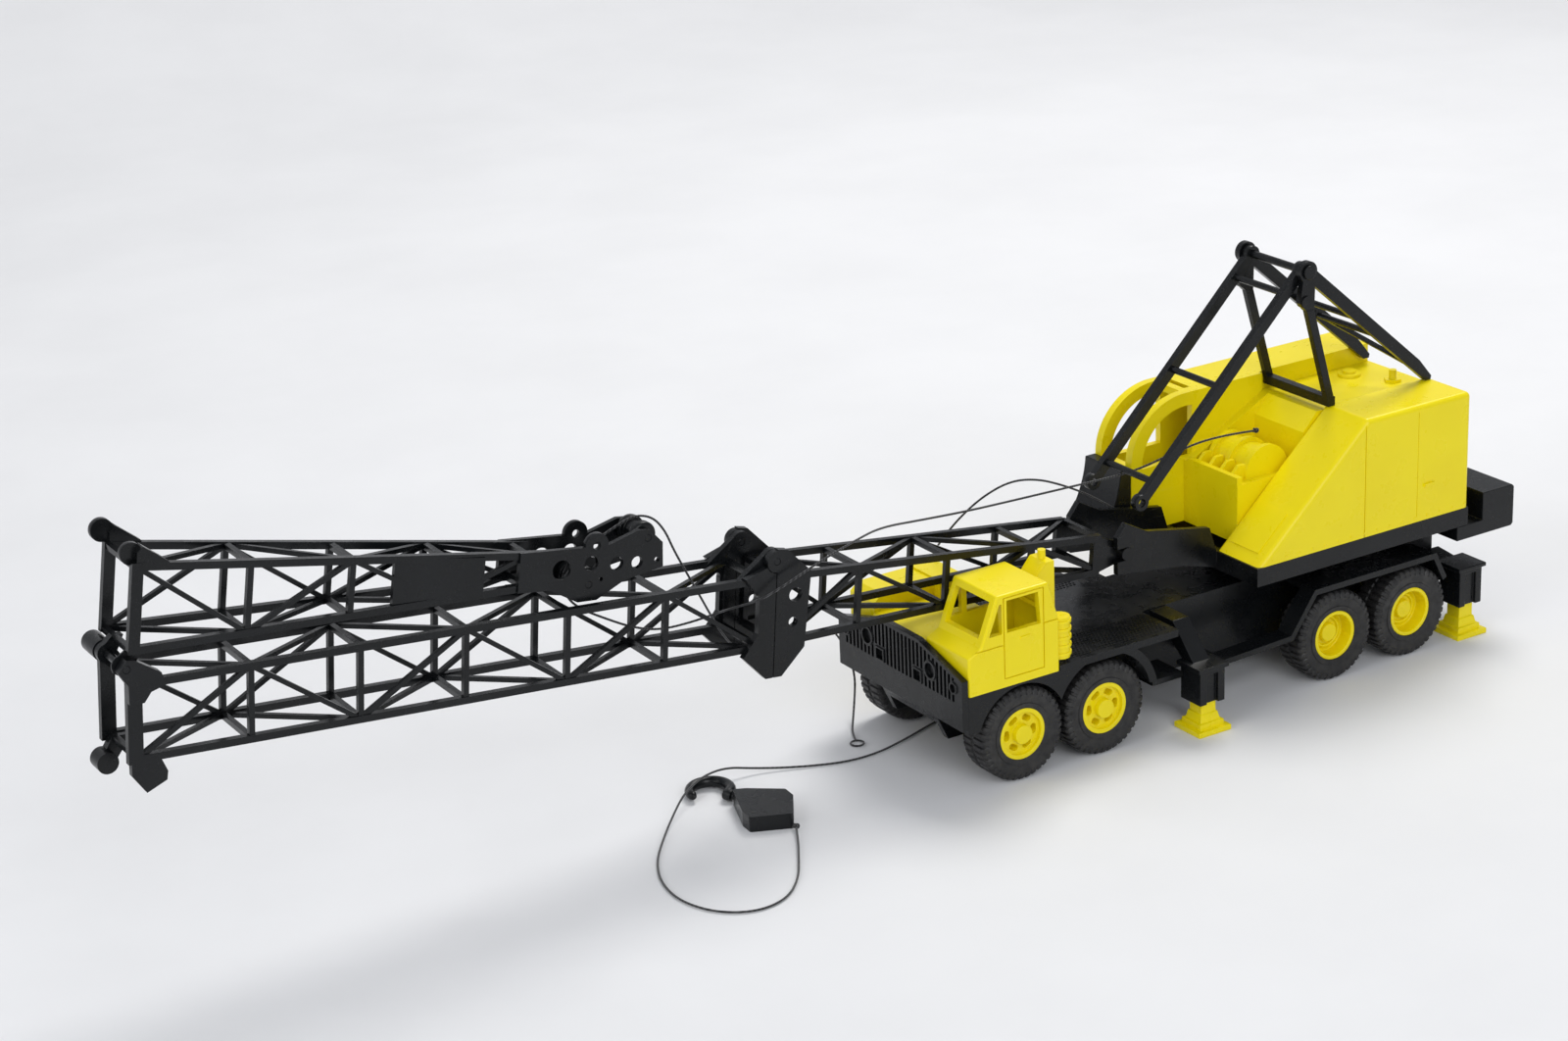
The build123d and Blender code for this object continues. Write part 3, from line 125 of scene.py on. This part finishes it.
def ramp(node, link, factor, low, high, at=(0.35, 0.65)):
    """A colour ramp between two colours or grey values."""
    stops = node("ShaderNodeValToRGB")
    for element, place, value in zip(stops.color_ramp.elements, at, (low, high)):
        element.position = place
        element.color = (*value, 1) if isinstance(value, tuple) else (value, value, value, 1)
    link(factor, stops.inputs["Fac"])
    return stops.outputs["Color"]


def bump(node, link, height, distance, strength, previous=None):
    """A bump from a height, stacked on a previous bump's normal."""
    mapper = node("ShaderNodeBump")
    mapper.inputs["Distance"].default_value = distance
    mapper.inputs["Strength"].default_value = strength
    link(height, mapper.inputs["Height"])
    if previous:
        link(previous, mapper.inputs["Normal"])
    return mapper.outputs["Normal"]


def moulded_plastic(name, deep, bright, worn, gloss, dull, waviness, wear_share, shine, scatter=0.0):
    """Injection-moulded plastic: uneven colour, flow marks, fine peel, scuffs and dust."""
    material, shader, node, link = new_material(name)
    coords = node("ShaderNodeTexCoord").outputs["Object"]
    base = ramp(node, link, noise(node, link, coords, 45), deep, bright, (0.3, 0.7))
    # scuffs: thin stretched streaks, shown only where a broad noise lets them
    stretch = node("ShaderNodeMapping")
    stretch.inputs["Scale"].default_value = (260, 900, 1500)
    stretch.inputs["Rotation"].default_value = (0.4, 0.9, 0.3)
    link(coords, stretch.inputs["Vector"])
    streaks = ramp(node, link, noise(node, link, stretch.outputs["Vector"], 1.0, 4), 0.0, 1.0, (0.62, 0.72))
    places = ramp(node, link, noise(node, link, coords, 90, 2), 0.0, 1.0, (0.5, 0.68))
    scuffs = node("ShaderNodeMath")
    scuffs.operation = "MULTIPLY"
    link(streaks, scuffs.inputs[0])
    link(places, scuffs.inputs[1])
    share = node("ShaderNodeMath")
    share.operation = "MULTIPLY"
    share.inputs[1].default_value = wear_share
    link(scuffs.outputs[0], share.inputs[0])
    # the finest grain is dust and pigment specks
    specks = ramp(node, link, noise(node, link, coords, 2600, 2), 1.0, 0.0, (0.22, 0.3))
    speck_share = node("ShaderNodeMath")
    speck_share.operation = "MULTIPLY_ADD"
    speck_share.inputs[1].default_value = wear_share * 0.5
    link(specks, speck_share.inputs[0])
    link(share.outputs[0], speck_share.inputs[2])
    colour = node("ShaderNodeMix")
    colour.data_type = "RGBA"
    colour.inputs["B"].default_value = (*worn, 1)
    link(speck_share.outputs[0], colour.inputs["Factor"])
    link(base, colour.inputs["A"])
    link(colour.outputs["Result"], shader.inputs["Base Color"])
    rough = ramp(node, link, noise(node, link, coords, 220, 4), gloss, dull, (0.3, 0.72))
    rougher = node("ShaderNodeMath")
    rougher.operation = "ADD"
    rougher.use_clamp = True
    link(rough, rougher.inputs[0])
    link(share.outputs[0], rougher.inputs[1])
    link(rougher.outputs[0], shader.inputs["Roughness"])
    broad = bump(node, link, noise(node, link, coords, 70, 1), 0.0006, waviness)
    peel = bump(node, link, noise(node, link, coords, 1400, 2), 0.0001, waviness * 0.6, broad)
    scratch = bump(node, link, scuffs.outputs[0], 0.00004, 0.35, peel)
    link(scratch, shader.inputs["Normal"])
    shader.inputs["IOR"].default_value = 1.5
    shader.inputs["Specular IOR Level"].default_value = shine
    shader.inputs["Subsurface Weight"].default_value = scatter
    shader.inputs["Subsurface Radius"].default_value = (0.002, 0.0014, 0.0004)
    return material


def tyre_plastic():
    """Dull black tyre plastic with a fine grain and floor dust."""
    material, shader, node, link = new_material("tyre_plastic")
    coords = node("ShaderNodeTexCoord").outputs["Object"]
    patches = noise(node, link, coords, 350, 5, 0.7)
    dust = ramp(node, link, patches, (0.007, 0.007, 0.008), (0.024, 0.023, 0.022))
    link(dust, shader.inputs["Base Color"])
    rough = ramp(node, link, noise(node, link, coords, 600, 3), 0.42, 0.68)
    link(rough, shader.inputs["Roughness"])
    grain = bump(node, link, noise(node, link, coords, 2200, 3), 0.0001, 0.35)
    link(grain, shader.inputs["Normal"])
    return material


def wire_steel():
    """Drawn steel wire with fine rings along the axle."""
    material, shader, node, link = new_material("wire_steel")
    coords = node("ShaderNodeTexCoord").outputs["Object"]
    stretch = node("ShaderNodeMapping")
    stretch.inputs["Scale"].default_value = (300, 4000, 300)
    link(coords, stretch.inputs["Vector"])
    lines = noise(node, link, stretch.outputs["Vector"], 1.0, 2)
    link(ramp(node, link, lines, (0.42, 0.42, 0.43), (0.62, 0.61, 0.6)), shader.inputs["Base Color"])
    link(ramp(node, link, lines, 0.28, 0.45), shader.inputs["Roughness"])
    shader.inputs["Metallic"].default_value = 1.0
    return material


def twisted_thread():
    """Black cotton thread: slanting strands and a little fuzz."""
    material, shader, node, link = new_material("twisted_thread")
    coords = node("ShaderNodeTexCoord").outputs["Object"]
    strands = node("ShaderNodeTexWave")
    strands.bands_direction = "DIAGONAL"
    strands.inputs["Scale"].default_value = 900
    strands.inputs["Distortion"].default_value = 2.0
    link(coords, strands.inputs["Vector"])
    link(ramp(node, link, strands.outputs["Fac"], (0.006, 0.006, 0.007), (0.035, 0.035, 0.038), (0.2, 0.8)),
         shader.inputs["Base Color"])
    shader.inputs["Roughness"].default_value = 0.85
    shader.inputs["Sheen Weight"].default_value = 0.35
    link(bump(node, link, strands.outputs["Fac"], 0.0001, 0.7), shader.inputs["Normal"])
    return material


def floor_paper():
    """Matt white studio sheet with faint unevenness."""
    material, shader, node, link = new_material("floor_paper")
    coords = node("ShaderNodeTexCoord").outputs["Object"]
    tone = ramp(node, link, noise(node, link, coords, 14, 4), (0.735, 0.74, 0.755), (0.765, 0.77, 0.785))
    link(tone, shader.inputs["Base Color"])
    shader.inputs["Roughness"].default_value = 0.7
    link(bump(node, link, noise(node, link, coords, 90, 4), 0.0004, 0.12), shader.inputs["Normal"])
    return material


YELLOW = moulded_plastic(
    "yellow_plastic", deep=(0.86, 0.70, 0.002), bright=(0.91, 0.76, 0.003), worn=(0.76, 0.69, 0.2),
    gloss=0.24, dull=0.38, waviness=0.05, wear_share=0.1, shine=0.34, scatter=0.06,
)
BLACK = moulded_plastic(
    "black_plastic", deep=(0.003, 0.0035, 0.004), bright=(0.006, 0.007, 0.008), worn=(0.05, 0.052, 0.058),
    gloss=0.2, dull=0.36, waviness=0.1, wear_share=0.12, shine=0.3,
)
TYRE = tyre_plastic()
STEEL = wire_steel()
THREAD = twisted_thread()
FLOOR = floor_paper()
FINISH = {
    "yellow_plastic": YELLOW, "black_plastic": BLACK, "tyre": TYRE, "axle_steel": STEEL, "thread": THREAD,
}
NODE_SLOT = {entry["node"]: entry["material_slot"] for entry in frame["record"]["subparts"]}
NODE_BODY = {
    node: body for body, nodes in frame["record"]["behaviour"]["bodies"].items() for node in nodes
}

# ---------------------------------------------------------------- cords

HOIST_ROUTE = [
    (3.5, 0.0, 55.9), (13.8, -1.0, 56.6), (24.6, -2.0, 55.0), (36.0, -3.0, 52.4), (50.2, -4.0, 52.4),
    (69.3, -3.0, 53.4), (84.6, -1.0, 54.8), (98.0, 0.6, 56.4), (111.0, 5.0, 59.2), (120.4, 9.8, 60.0),
    (130.2, 11.4, 58.3), (138.1, 11.6, 55.6), (145.0, 10.4, 52.6), (150.6, 6.0, 50.6), (158.0, 3.2, 48.6),
    (165.2, 2.0, 48.3), (171.1, 1.0, 50.2), (176.9, 0.2, 53.5), (181.2, 0.0, 56.2), (184.5, 0.0, 59.1),
    (186.2, 0.0, 63.4), (184.6, 0.0, 67.4), (179.2, 0.0, 70.2), (173.2, 0.0, 72.6), (168.4, 0.0, 74.2),
    (164.0, 0.0, 72.9), (161.4, 0.4, 69.4), (160.3, 1.6, 65.2), (158.6, 2.9, 60.6), (155.9, 3.1, 54.9),
    (152.2, 1.2, 48.4), (148.6, 0.4, 41.9), (144.3, -2.4, 37.2), (137.5, -5.6, 33.9), (129.9, -9.6, 32.6),
    (122.5, -12.4, 31.4), (116.7, -15.0, 29.0), (111.6, -18.6, 26.8), (106.6, -23.6, 24.6),
    (102.2, -28.2, 20.6), (98.9, -29.2, 15.2), (97.6, -28.6, 9.2), (99.2, -26.8, 4.2), (102.4, -22.8, 1.2),
    (105.4, -18.6, 0.4), (106.8, -15.0, 0.4),
]
HOOK_ROUTE = [
    (36.0, -10.08, 41.2), (42.4, -10.7, 45.8), (49.6, -11.6, 49.8), (57.0, -12.0, 53.0), (64.3, -12.4, 54.0),
    (71.0, -14.0, 51.2), (75.4, -17.0, 46.2), (77.0, -20.8, 41.0), (76.8, -25.4, 36.0), (76.6, -28.4, 28.4),
    (76.8, -29.2, 19.0), (77.1, -28.6, 10.2), (77.3, -25.8, 3.8), (78.0, -20.8, 1.2), (80.4, -16.0, 0.5),
    (84.8, -12.9, 0.4), (91.0, -10.8, 0.4), (98.6, -8.2, 0.4), (106.6, -6.2, 0.4), (114.2, -6.4, 0.4),
    (121.2, -9.0, 0.4), (128.0, -12.2, 0.6), (134.6, -14.8, 1.4), (141.0, -15.4, 3.2), (148.2, -13.2, 4.0),
    (155.4, -9.0, 3.6), (161.8, -3.6, 1.6), (168.0, 3.0, 0.6), (173.8, 10.4, 0.4), (178.0, 19.4, 0.4),
    (179.0, 29.0, 0.4), (175.6, 37.8, 0.4), (168.6, 42.6, 0.4), (160.6, 41.4, 0.4), (153.8, 35.0, 0.4),
    (148.6, 26.8, 0.6), (144.8, 20.6, 0.8), (142.24, 15.79, 0.95),
]


def thread_curve(name, route):
    """A round thread along one smooth spline whose control points are the route."""
    curve = bpy.data.curves.new(name, "CURVE")
    curve.dimensions = "3D"
    curve.bevel_depth = THREAD_MM / 2 * MM
    curve.bevel_resolution = 3
    curve.resolution_u = 8
    curve.use_fill_caps = True
    spline = curve.splines.new("NURBS")
    spline.points.add(len(route) - 1)
    for point, place in zip(spline.points, route):
        point.co = (*spot(*place), 1)
    spline.order_u = 3
    spline.use_endpoint_u = True
    piece = bpy.data.objects.new(name, curve)
    bpy.context.scene.collection.objects.link(piece)
    curve.materials.append(THREAD)
    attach(piece, "superstructure")
    return piece


def finish_mesh(piece, material, smooth_angle):
    """Give a mesh piece its material, and smooth shading except across edges past an angle in degrees."""
    piece.data.materials.clear()
    piece.data.materials.append(material)
    piece.data.shade_smooth()
    piece.data.set_sharp_from_angle(angle=radians(smooth_angle))


def mesh_piece(name, points, faces, node, smooth_angle=40):
    """A mesh object that rides with a CAD node's body and takes its slot."""
    mesh = bpy.data.meshes.new(name)
    mesh.from_pydata(points, [], faces)
    mesh.update()
    piece = bpy.data.objects.new(name, mesh)
    bpy.context.scene.collection.objects.link(piece)
    finish_mesh(piece, FINISH[NODE_SLOT[node]], smooth_angle)
    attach(piece, NODE_BODY[node])
    return piece


def tube(name, centres, radii, node, around=14, twist=0.0, ridge=0.0, closed=False):
    """A mesh tube through centres with a radius at each; twist and ridge give it wound strands."""
    points = []
    count = len(centres)
    reference = Vector((0, 0, 1))
    for index, (centre, radius) in enumerate(zip(centres, radii)):
        after = centres[(index + 1) % count] if closed else centres[min(index + 1, count - 1)]
        before = centres[index - 1] if closed or index else centres[0]
        along = (after - before).normalized()
        across = along.cross(reference)
        if across.length < 0.05:
            across = along.cross(Vector((0, 1, 0)))
        across.normalize()
        upward = across.cross(along)
        for step in range(around):
            angle = 2 * pi * step / around
            reach = radius * (1 + ridge * cos(2 * angle + twist * index))
            points.append(centre + reach * (cos(angle) * across + sin(angle) * upward))
    faces = []
    last = count if closed else count - 1
    for ring in range(last):
        for step in range(around):
            here = ring * around + step
            beside = ring * around + (step + 1) % around
            over = (ring + 1) % count * around
            faces.append((here, beside, over + (step + 1) % around, over + step))
    if not closed:
        faces.append(tuple(reversed(range(around))))
        faces.append(tuple((count - 1) * around + step for step in range(around)))
    piece = mesh_piece(name, points, faces, node)
    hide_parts(node)
    return piece


def wound_knot(node):
    """An overhand knot: a closed trefoil of thread that fills the CAD knot's ball."""
    low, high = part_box(node)
    centre = (low + high) / 2
    reach = (high.x - low.x) / 2 - 0.62 * THREAD_MM * MM
    centres = []
    for step in range(72):
        angle = 2 * pi * step / 72
        across = reach * (0.62 + 0.38 * cos(3 * angle))
        offset = Vector((across * cos(2 * angle), across * sin(2 * angle), 0.5 * reach * sin(3 * angle)))
        centres.append(centre + offset)
    return tube(node + "_wound", centres, [0.55 * THREAD_MM * MM] * len(centres), node, 8, closed=True)


def thread_eye(node):
    """The small eye at the thread's loose end, an open ring of twisted thread."""
    low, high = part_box(node)
    centre = (low + high) / 2
    reach = (high.x - low.x) / 2 - THREAD_MM / 2 * MM
    turns = [2 * pi * step / 60 for step in range(60)]
    centres = [centre + reach * Vector((cos(turn), sin(turn), 0)) for turn in turns]
    radius = THREAD_MM / 2 * MM * 0.92
    return tube(node + "_ring", centres, [radius] * 60, node, 10, twist=2 * pi / 6, ridge=0.08, closed=True)


hoist_line = thread_curve("hoist_thread", HOIST_ROUTE)
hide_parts("hoist_line")
hook_line = thread_curve("hook_thread", HOOK_ROUTE)
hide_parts("hook_line")
hoist_knot = wound_knot("hoist_line_knot")
hook_knot = wound_knot("hook_line_knot")
hoist_eye = thread_eye("hoist_line_eye")


def make_hook():
    """A cast hook: round shank and a bar that swells at the bottom of the bend and thins to its tip."""
    shank_angle = radians(-65.0)
    direction = Vector((cos(shank_angle), sin(shank_angle), 0))
    eye = spot(144.9, -3.9, 1.5)
    centre = eye + direction * 7.4 * MM
    bend = 4.5 * MM
    centres = [eye - direction * 3.0 * MM, eye + direction * 1.3 * MM, eye + direction * 1.5 * MM]
    radii = [0.7, 0.7, 1.2]
    centres.append(eye + direction * 2.1 * MM)
    radii.append(1.3)
    steps = 54
    for step in range(steps + 1):
        share = step / steps
        angle = shank_angle + pi + radians(262.0) * share
        centres.append(centre + bend * Vector((cos(angle), sin(angle), 0)))
        radii.append(1.3 - 0.38 * share**4 if share < 0.93 else 1.02 - 0.9 * ((share - 0.93) / 0.07) ** 2)
    return tube("cast_hook", centres, [radius * MM for radius in radii], "hook", 20)


# ---------------------------------------------------------------- softened mouldings

# radius in millimetres of the moulded edges of each finish and of the lattice pieces
SOFTENING = {"yellow_plastic": 0.3, "black_plastic": 0.2, "axle_steel": 0.15}
LATTICE_SOFTENING = 0.13
LATTICE = ("boom_base", "boom_mid", "boom_tip", "live_mast", "gantry_front_frame", "gantry_rear_frame")
# CAD corners closer than this are one, and faces that turn by less than this angle become one
WELD_MM = 0.002
FLAT_ANGLE = 1.0
# edges that turn by more than these angles in degrees are rounded, and stay sharp in the shading
ROUNDED_ANGLE = 32
MOULDED_ANGLE = 42


def apply_modifiers(piece):
    """Replace a piece's mesh by what its modifiers make of it."""
    solid = bpy.data.meshes.new_from_object(piece.evaluated_get(bpy.context.evaluated_depsgraph_get()))
    piece.modifiers.clear()
    piece.data = solid


def softened(node, radius_mm, cutters=()):
    """A copy of a CAD piece with its moulded edges rounded, and grooves cut by thin boxes."""
    source = frame["nodes"][node]
    mesh = source.data.copy()
    shape = bmesh.new()
    shape.from_mesh(mesh)
    bmesh.ops.remove_doubles(shape, verts=shape.verts, dist=WELD_MM * MM)
    bmesh.ops.dissolve_limit(shape, angle_limit=radians(FLAT_ANGLE), verts=shape.verts, edges=shape.edges)
    shape.to_mesh(mesh)
    shape.free()
    piece = bpy.data.objects.new(node + "_moulded", mesh)
    bpy.context.scene.collection.objects.link(piece)
    for cutter in cutters:
        cut = piece.modifiers.new("groove", "BOOLEAN")
        cut.operation = "DIFFERENCE"
        cut.solver = "EXACT"
        cut.object = cutter
    rounding = piece.modifiers.new("rounding", "BEVEL")
    rounding.width = radius_mm * MM
    rounding.segments = 2
    rounding.limit_method = "ANGLE"
    rounding.angle_limit = radians(ROUNDED_ANGLE)
    apply_modifiers(piece)
    finish_mesh(piece, FINISH[NODE_SLOT[node]], MOULDED_ANGLE)
    flat_faces = piece.modifiers.new("flat_faces", "WEIGHTED_NORMAL")
    flat_faces.keep_sharp = True
    apply_modifiers(piece)
    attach(piece, NODE_BODY[node])
    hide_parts(node)
    return piece


def cutter_box(x, y, z):
    """A hidden box between pairs of vehicle x, y and z values, used once to cut grooves."""
    low = spot(x[0], y[0], z[0])
    high = spot(x[1], y[1], z[1])
    shape = bmesh.new()
    bmesh.ops.create_cube(shape, size=1.0)
    size = Matrix.Diagonal((high.x - low.x, high.y - low.y, high.z - low.z, 1))
    shape.transform(Matrix.Translation((low + high) / 2) @ size)
    mesh = bpy.data.meshes.new("cutter")
    shape.to_mesh(mesh)
    shape.free()
    cutter = bpy.data.objects.new("cutter", mesh)
    bpy.context.scene.collection.objects.link(cutter)
    return cutter


def outline_cutters(x, y, z, width=0.3):
    """Four thin boxes that groove the outline of a door on a wall that faces Y."""
    half = width / 2
    return [
        cutter_box((x[0] - half, x[0] + half), y, z), cutter_box((x[1] - half, x[1] + half), y, z),
        cutter_box(x, y, (z[0] - half, z[0] + half)), cutter_box(x, y, (z[1] - half, z[1] + half)),
    ]


# the hook and its block are made first, because they go with the hook's thread
hook = make_hook()
hook_block = softened("hook_block", SOFTENING[NODE_SLOT["hook_block"]])

# grooves reach from just inside a side wall's face to outside it
DOOR_DEPTH = (24.05, 24.6)
cab_grooves = outline_cutters((82.2, 92.8), DOOR_DEPTH, (25.4, 44.2)) + [
    cutter_box((78.2, 82.2), DOOR_DEPTH, (35.7, 36.0)), cutter_box((92.8, 102.0), DOOR_DEPTH, (33.2, 33.5)),
]
HOUSE_DEPTH = (23.95, 24.6)
house_grooves = [
    cutter_box((-10.05, -9.75), HOUSE_DEPTH, (33.0, 61.0)),
    cutter_box((-26.05, -25.85), DOOR_DEPTH, (34.6, 60.4)),
]
GROOVES = {"carrier_cab": cab_grooves, "house_shell": house_grooves}
REPLACED = (
    "hoist_line", "hook_line", "hoist_line_knot", "hook_line_knot", "hoist_line_eye", "hook", "hook_block",
)

for node, slot_name in NODE_SLOT.items():
    if node in REPLACED or slot_name == "tyre":
        continue
    radius_mm = LATTICE_SOFTENING if node in LATTICE else SOFTENING[slot_name]
    softened(node, radius_mm, GROOVES.get(node, ()))
for cutter in [item for item in bpy.data.objects if item.name.startswith("cutter")]:
    bpy.data.objects.remove(cutter)

# ---------------------------------------------------------------- tyres

LUGS = 40
STEPS_PER_LUG = 8
LUG_DEPTH_MM = 0.38
TYRE_BORE_MM = 6.0


def tyre_profile(radius, half_width, bore):
    """Half of a tyre's section as (radius, distance from its middle, share of the lug's height)."""
    return [
        (bore, half_width * 0.9, 0), (bore + 0.7, half_width * 0.97, 0), (bore + 1.2, half_width * 0.97, 0),
        (bore + 1.3, half_width * 0.93, 0), (bore + 1.9, half_width * 0.96, 0),
        (radius - 1.7, half_width, 0), (radius - 1.3, half_width * 0.99, 0.5),
        (radius - 0.5, half_width * 0.93, 1),
        (radius - 0.08, half_width * 0.8, 1), (radius, half_width * 0.5, 1), (radius, half_width * 0.12, 1),
        (radius - 0.35, half_width * 0.08, 0.3),
    ]


def treaded_tyre(node):
    """A tyre with staggered lugs that run over its shoulders."""
    low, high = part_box(node)
    centre = (low + high) / 2
    half_width = (high.y - low.y) / 2 / MM
    radius = (high.z - low.z) / 2 / MM
    half = tyre_profile(radius, half_width, TYRE_BORE_MM)
    section = half + [(r, -w, lug) for r, w, lug in reversed(half)]
    around = LUGS * STEPS_PER_LUG
    points = []
    for step in range(around):
        angle = 2 * pi * step / around
        for r, w, lug in section:
            stagger = STEPS_PER_LUG // 2 if w < 0 else 0
            gap = (step + stagger) % STEPS_PER_LUG >= STEPS_PER_LUG * 0.6
            depth = LUG_DEPTH_MM * lug if gap else 0.0
            inward = 0.2 * (lug == 0.5) * gap
            w = w - inward if w > 0 else w + inward
            reach = (r - depth) * MM
            points.append(centre + Vector((reach * cos(angle), w * MM, reach * sin(angle))))
    faces = []
    rows = len(section)
    for step in range(around):
        for row in range(rows):
            here = step * rows + row
            beside = step * rows + (row + 1) % rows
            ahead = (step + 1) % around * rows
            faces.append((here, beside, ahead + (row + 1) % rows, ahead + row))
    piece = mesh_piece(node + "_treaded", points, faces, node, smooth_angle=28)
    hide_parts(node)


for node, slot_name in NODE_SLOT.items():
    if slot_name == "tyre":
        treaded_tyre(node)

# ---------------------------------------------------------------- surface detail


def studs(name, node, places, size_mm, height_mm, sides=4, direction=Vector((0, 0, 1))):
    """Small raised studs with bevelled tops, in one mesh, standing on a moulded surface."""
    points = []
    faces = []
    first = direction.orthogonal().normalized()
    second = direction.cross(first)
    for place in places:
        start = len(points)
        for reach, rise in ((size_mm, -0.05), (size_mm, height_mm * 0.6), (size_mm * 0.6, height_mm)):
            for side in range(sides):
                angle = 2 * pi * side / sides
                offset = first * cos(angle) + second * sin(angle)
                points.append(place + (offset * reach + direction * rise) * MM)
        for ring in range(2):
            for side in range(sides):
                beside = (side + 1) % sides
                low = start + ring * sides
                faces.append((low + side, low + beside, low + sides + beside, low + sides + side))
        faces.append(tuple(start + 2 * sides + side for side in range(sides)))
        faces.append(tuple(start + side for side in reversed(range(sides))))
    return mesh_piece(name, points, faces, node, smooth_angle=25)


def deck_pattern():
    """Raised chequer studs on the walkways of the front deck."""
    places = []
    for row in range(30):
        for column in range(46):
            x = 46.6 + row * 0.95 + 0.475 * (column % 2)
            y = -22.6 + column * 1.0
            if abs(y) > 11.5 and not (x > 71.5 and 8.5 < y < 17.5):
                places.append(spot(x, y, 24.6))
    studs("deck_chequer", "carrier_frame", places, 0.34, 0.16)


def house_rivets():
    """Small round studs in a row along the house's lower edge."""
    outward = Vector((0, 1, 0))
    places = [spot(-41.0 + 3.9 * step, 24.2, 34.4) for step in range(16)]
    studs("house_rivets", "house_shell", places, 0.28, 0.16, 10, outward)


deck_pattern()
house_rivets()

# ---------------------------------------------------------------- studio


def add_floor():
    """A pale sheet that rises in a wide curve far behind the model."""
    points = []
    faces = []
    profile = [(2.2, 0.0), (-0.62, 0.0)]
    for step in range(1, 13):
        angle = radians(90 * step / 12)
        profile.append((-0.62 - 0.5 * sin(angle), 0.5 * (1 - cos(angle))))
    profile.append((-1.12, 2.4))
    for y, z in profile:
        points.append((-3.0, y, z))
        points.append((3.0, y, z))
    for step in range(len(profile) - 1):
        faces.append((2 * step, 2 * step + 1, 2 * step + 3, 2 * step + 2))
    mesh = bpy.data.meshes.new("studio_floor")
    mesh.from_pydata(points, [], faces)
    mesh.materials.append(FLOOR)
    mesh.shade_smooth()
    floor = bpy.data.objects.new("studio_floor", mesh)
    bpy.context.scene.collection.objects.link(floor)


def add_light(name, place, target, size, power, colour=(1, 1, 1)):
    """A square soft light at a place, turned to a target."""
    light = bpy.data.lights.new(name, "AREA")
    light.shape = "SQUARE"
    light.size = size
    light.energy = power
    light.color = colour
    lamp = bpy.data.objects.new(name, light)
    bpy.context.scene.collection.objects.link(lamp)
    lamp.location = place
    lamp.rotation_euler = (Vector(target) - Vector(place)).to_track_quat("-Z", "Y").to_euler()


add_floor()
add_light("key_light", (-0.55, -0.35, 0.95), (0.0, 0.0, 0.03), 0.5, 8.0, (1.0, 0.985, 0.96))
add_light("front_light", (0.2, 1.1, 0.75), (0.0, 0.0, 0.03), 0.8, 6.2, (0.96, 0.98, 1.0))
add_light("side_light", (1.0, 0.1, 0.6), (0.0, 0.0, 0.03), 0.7, 3.6)
world = bpy.data.worlds.new("studio_air")
world.use_nodes = True
world.node_tree.nodes["Background"].inputs["Color"].default_value = (0.93, 0.95, 1.0, 1)
world.node_tree.nodes["Background"].inputs["Strength"].default_value = 0.4
bpy.context.scene.world = world
bpy.context.scene.view_settings.view_transform = "Standard"
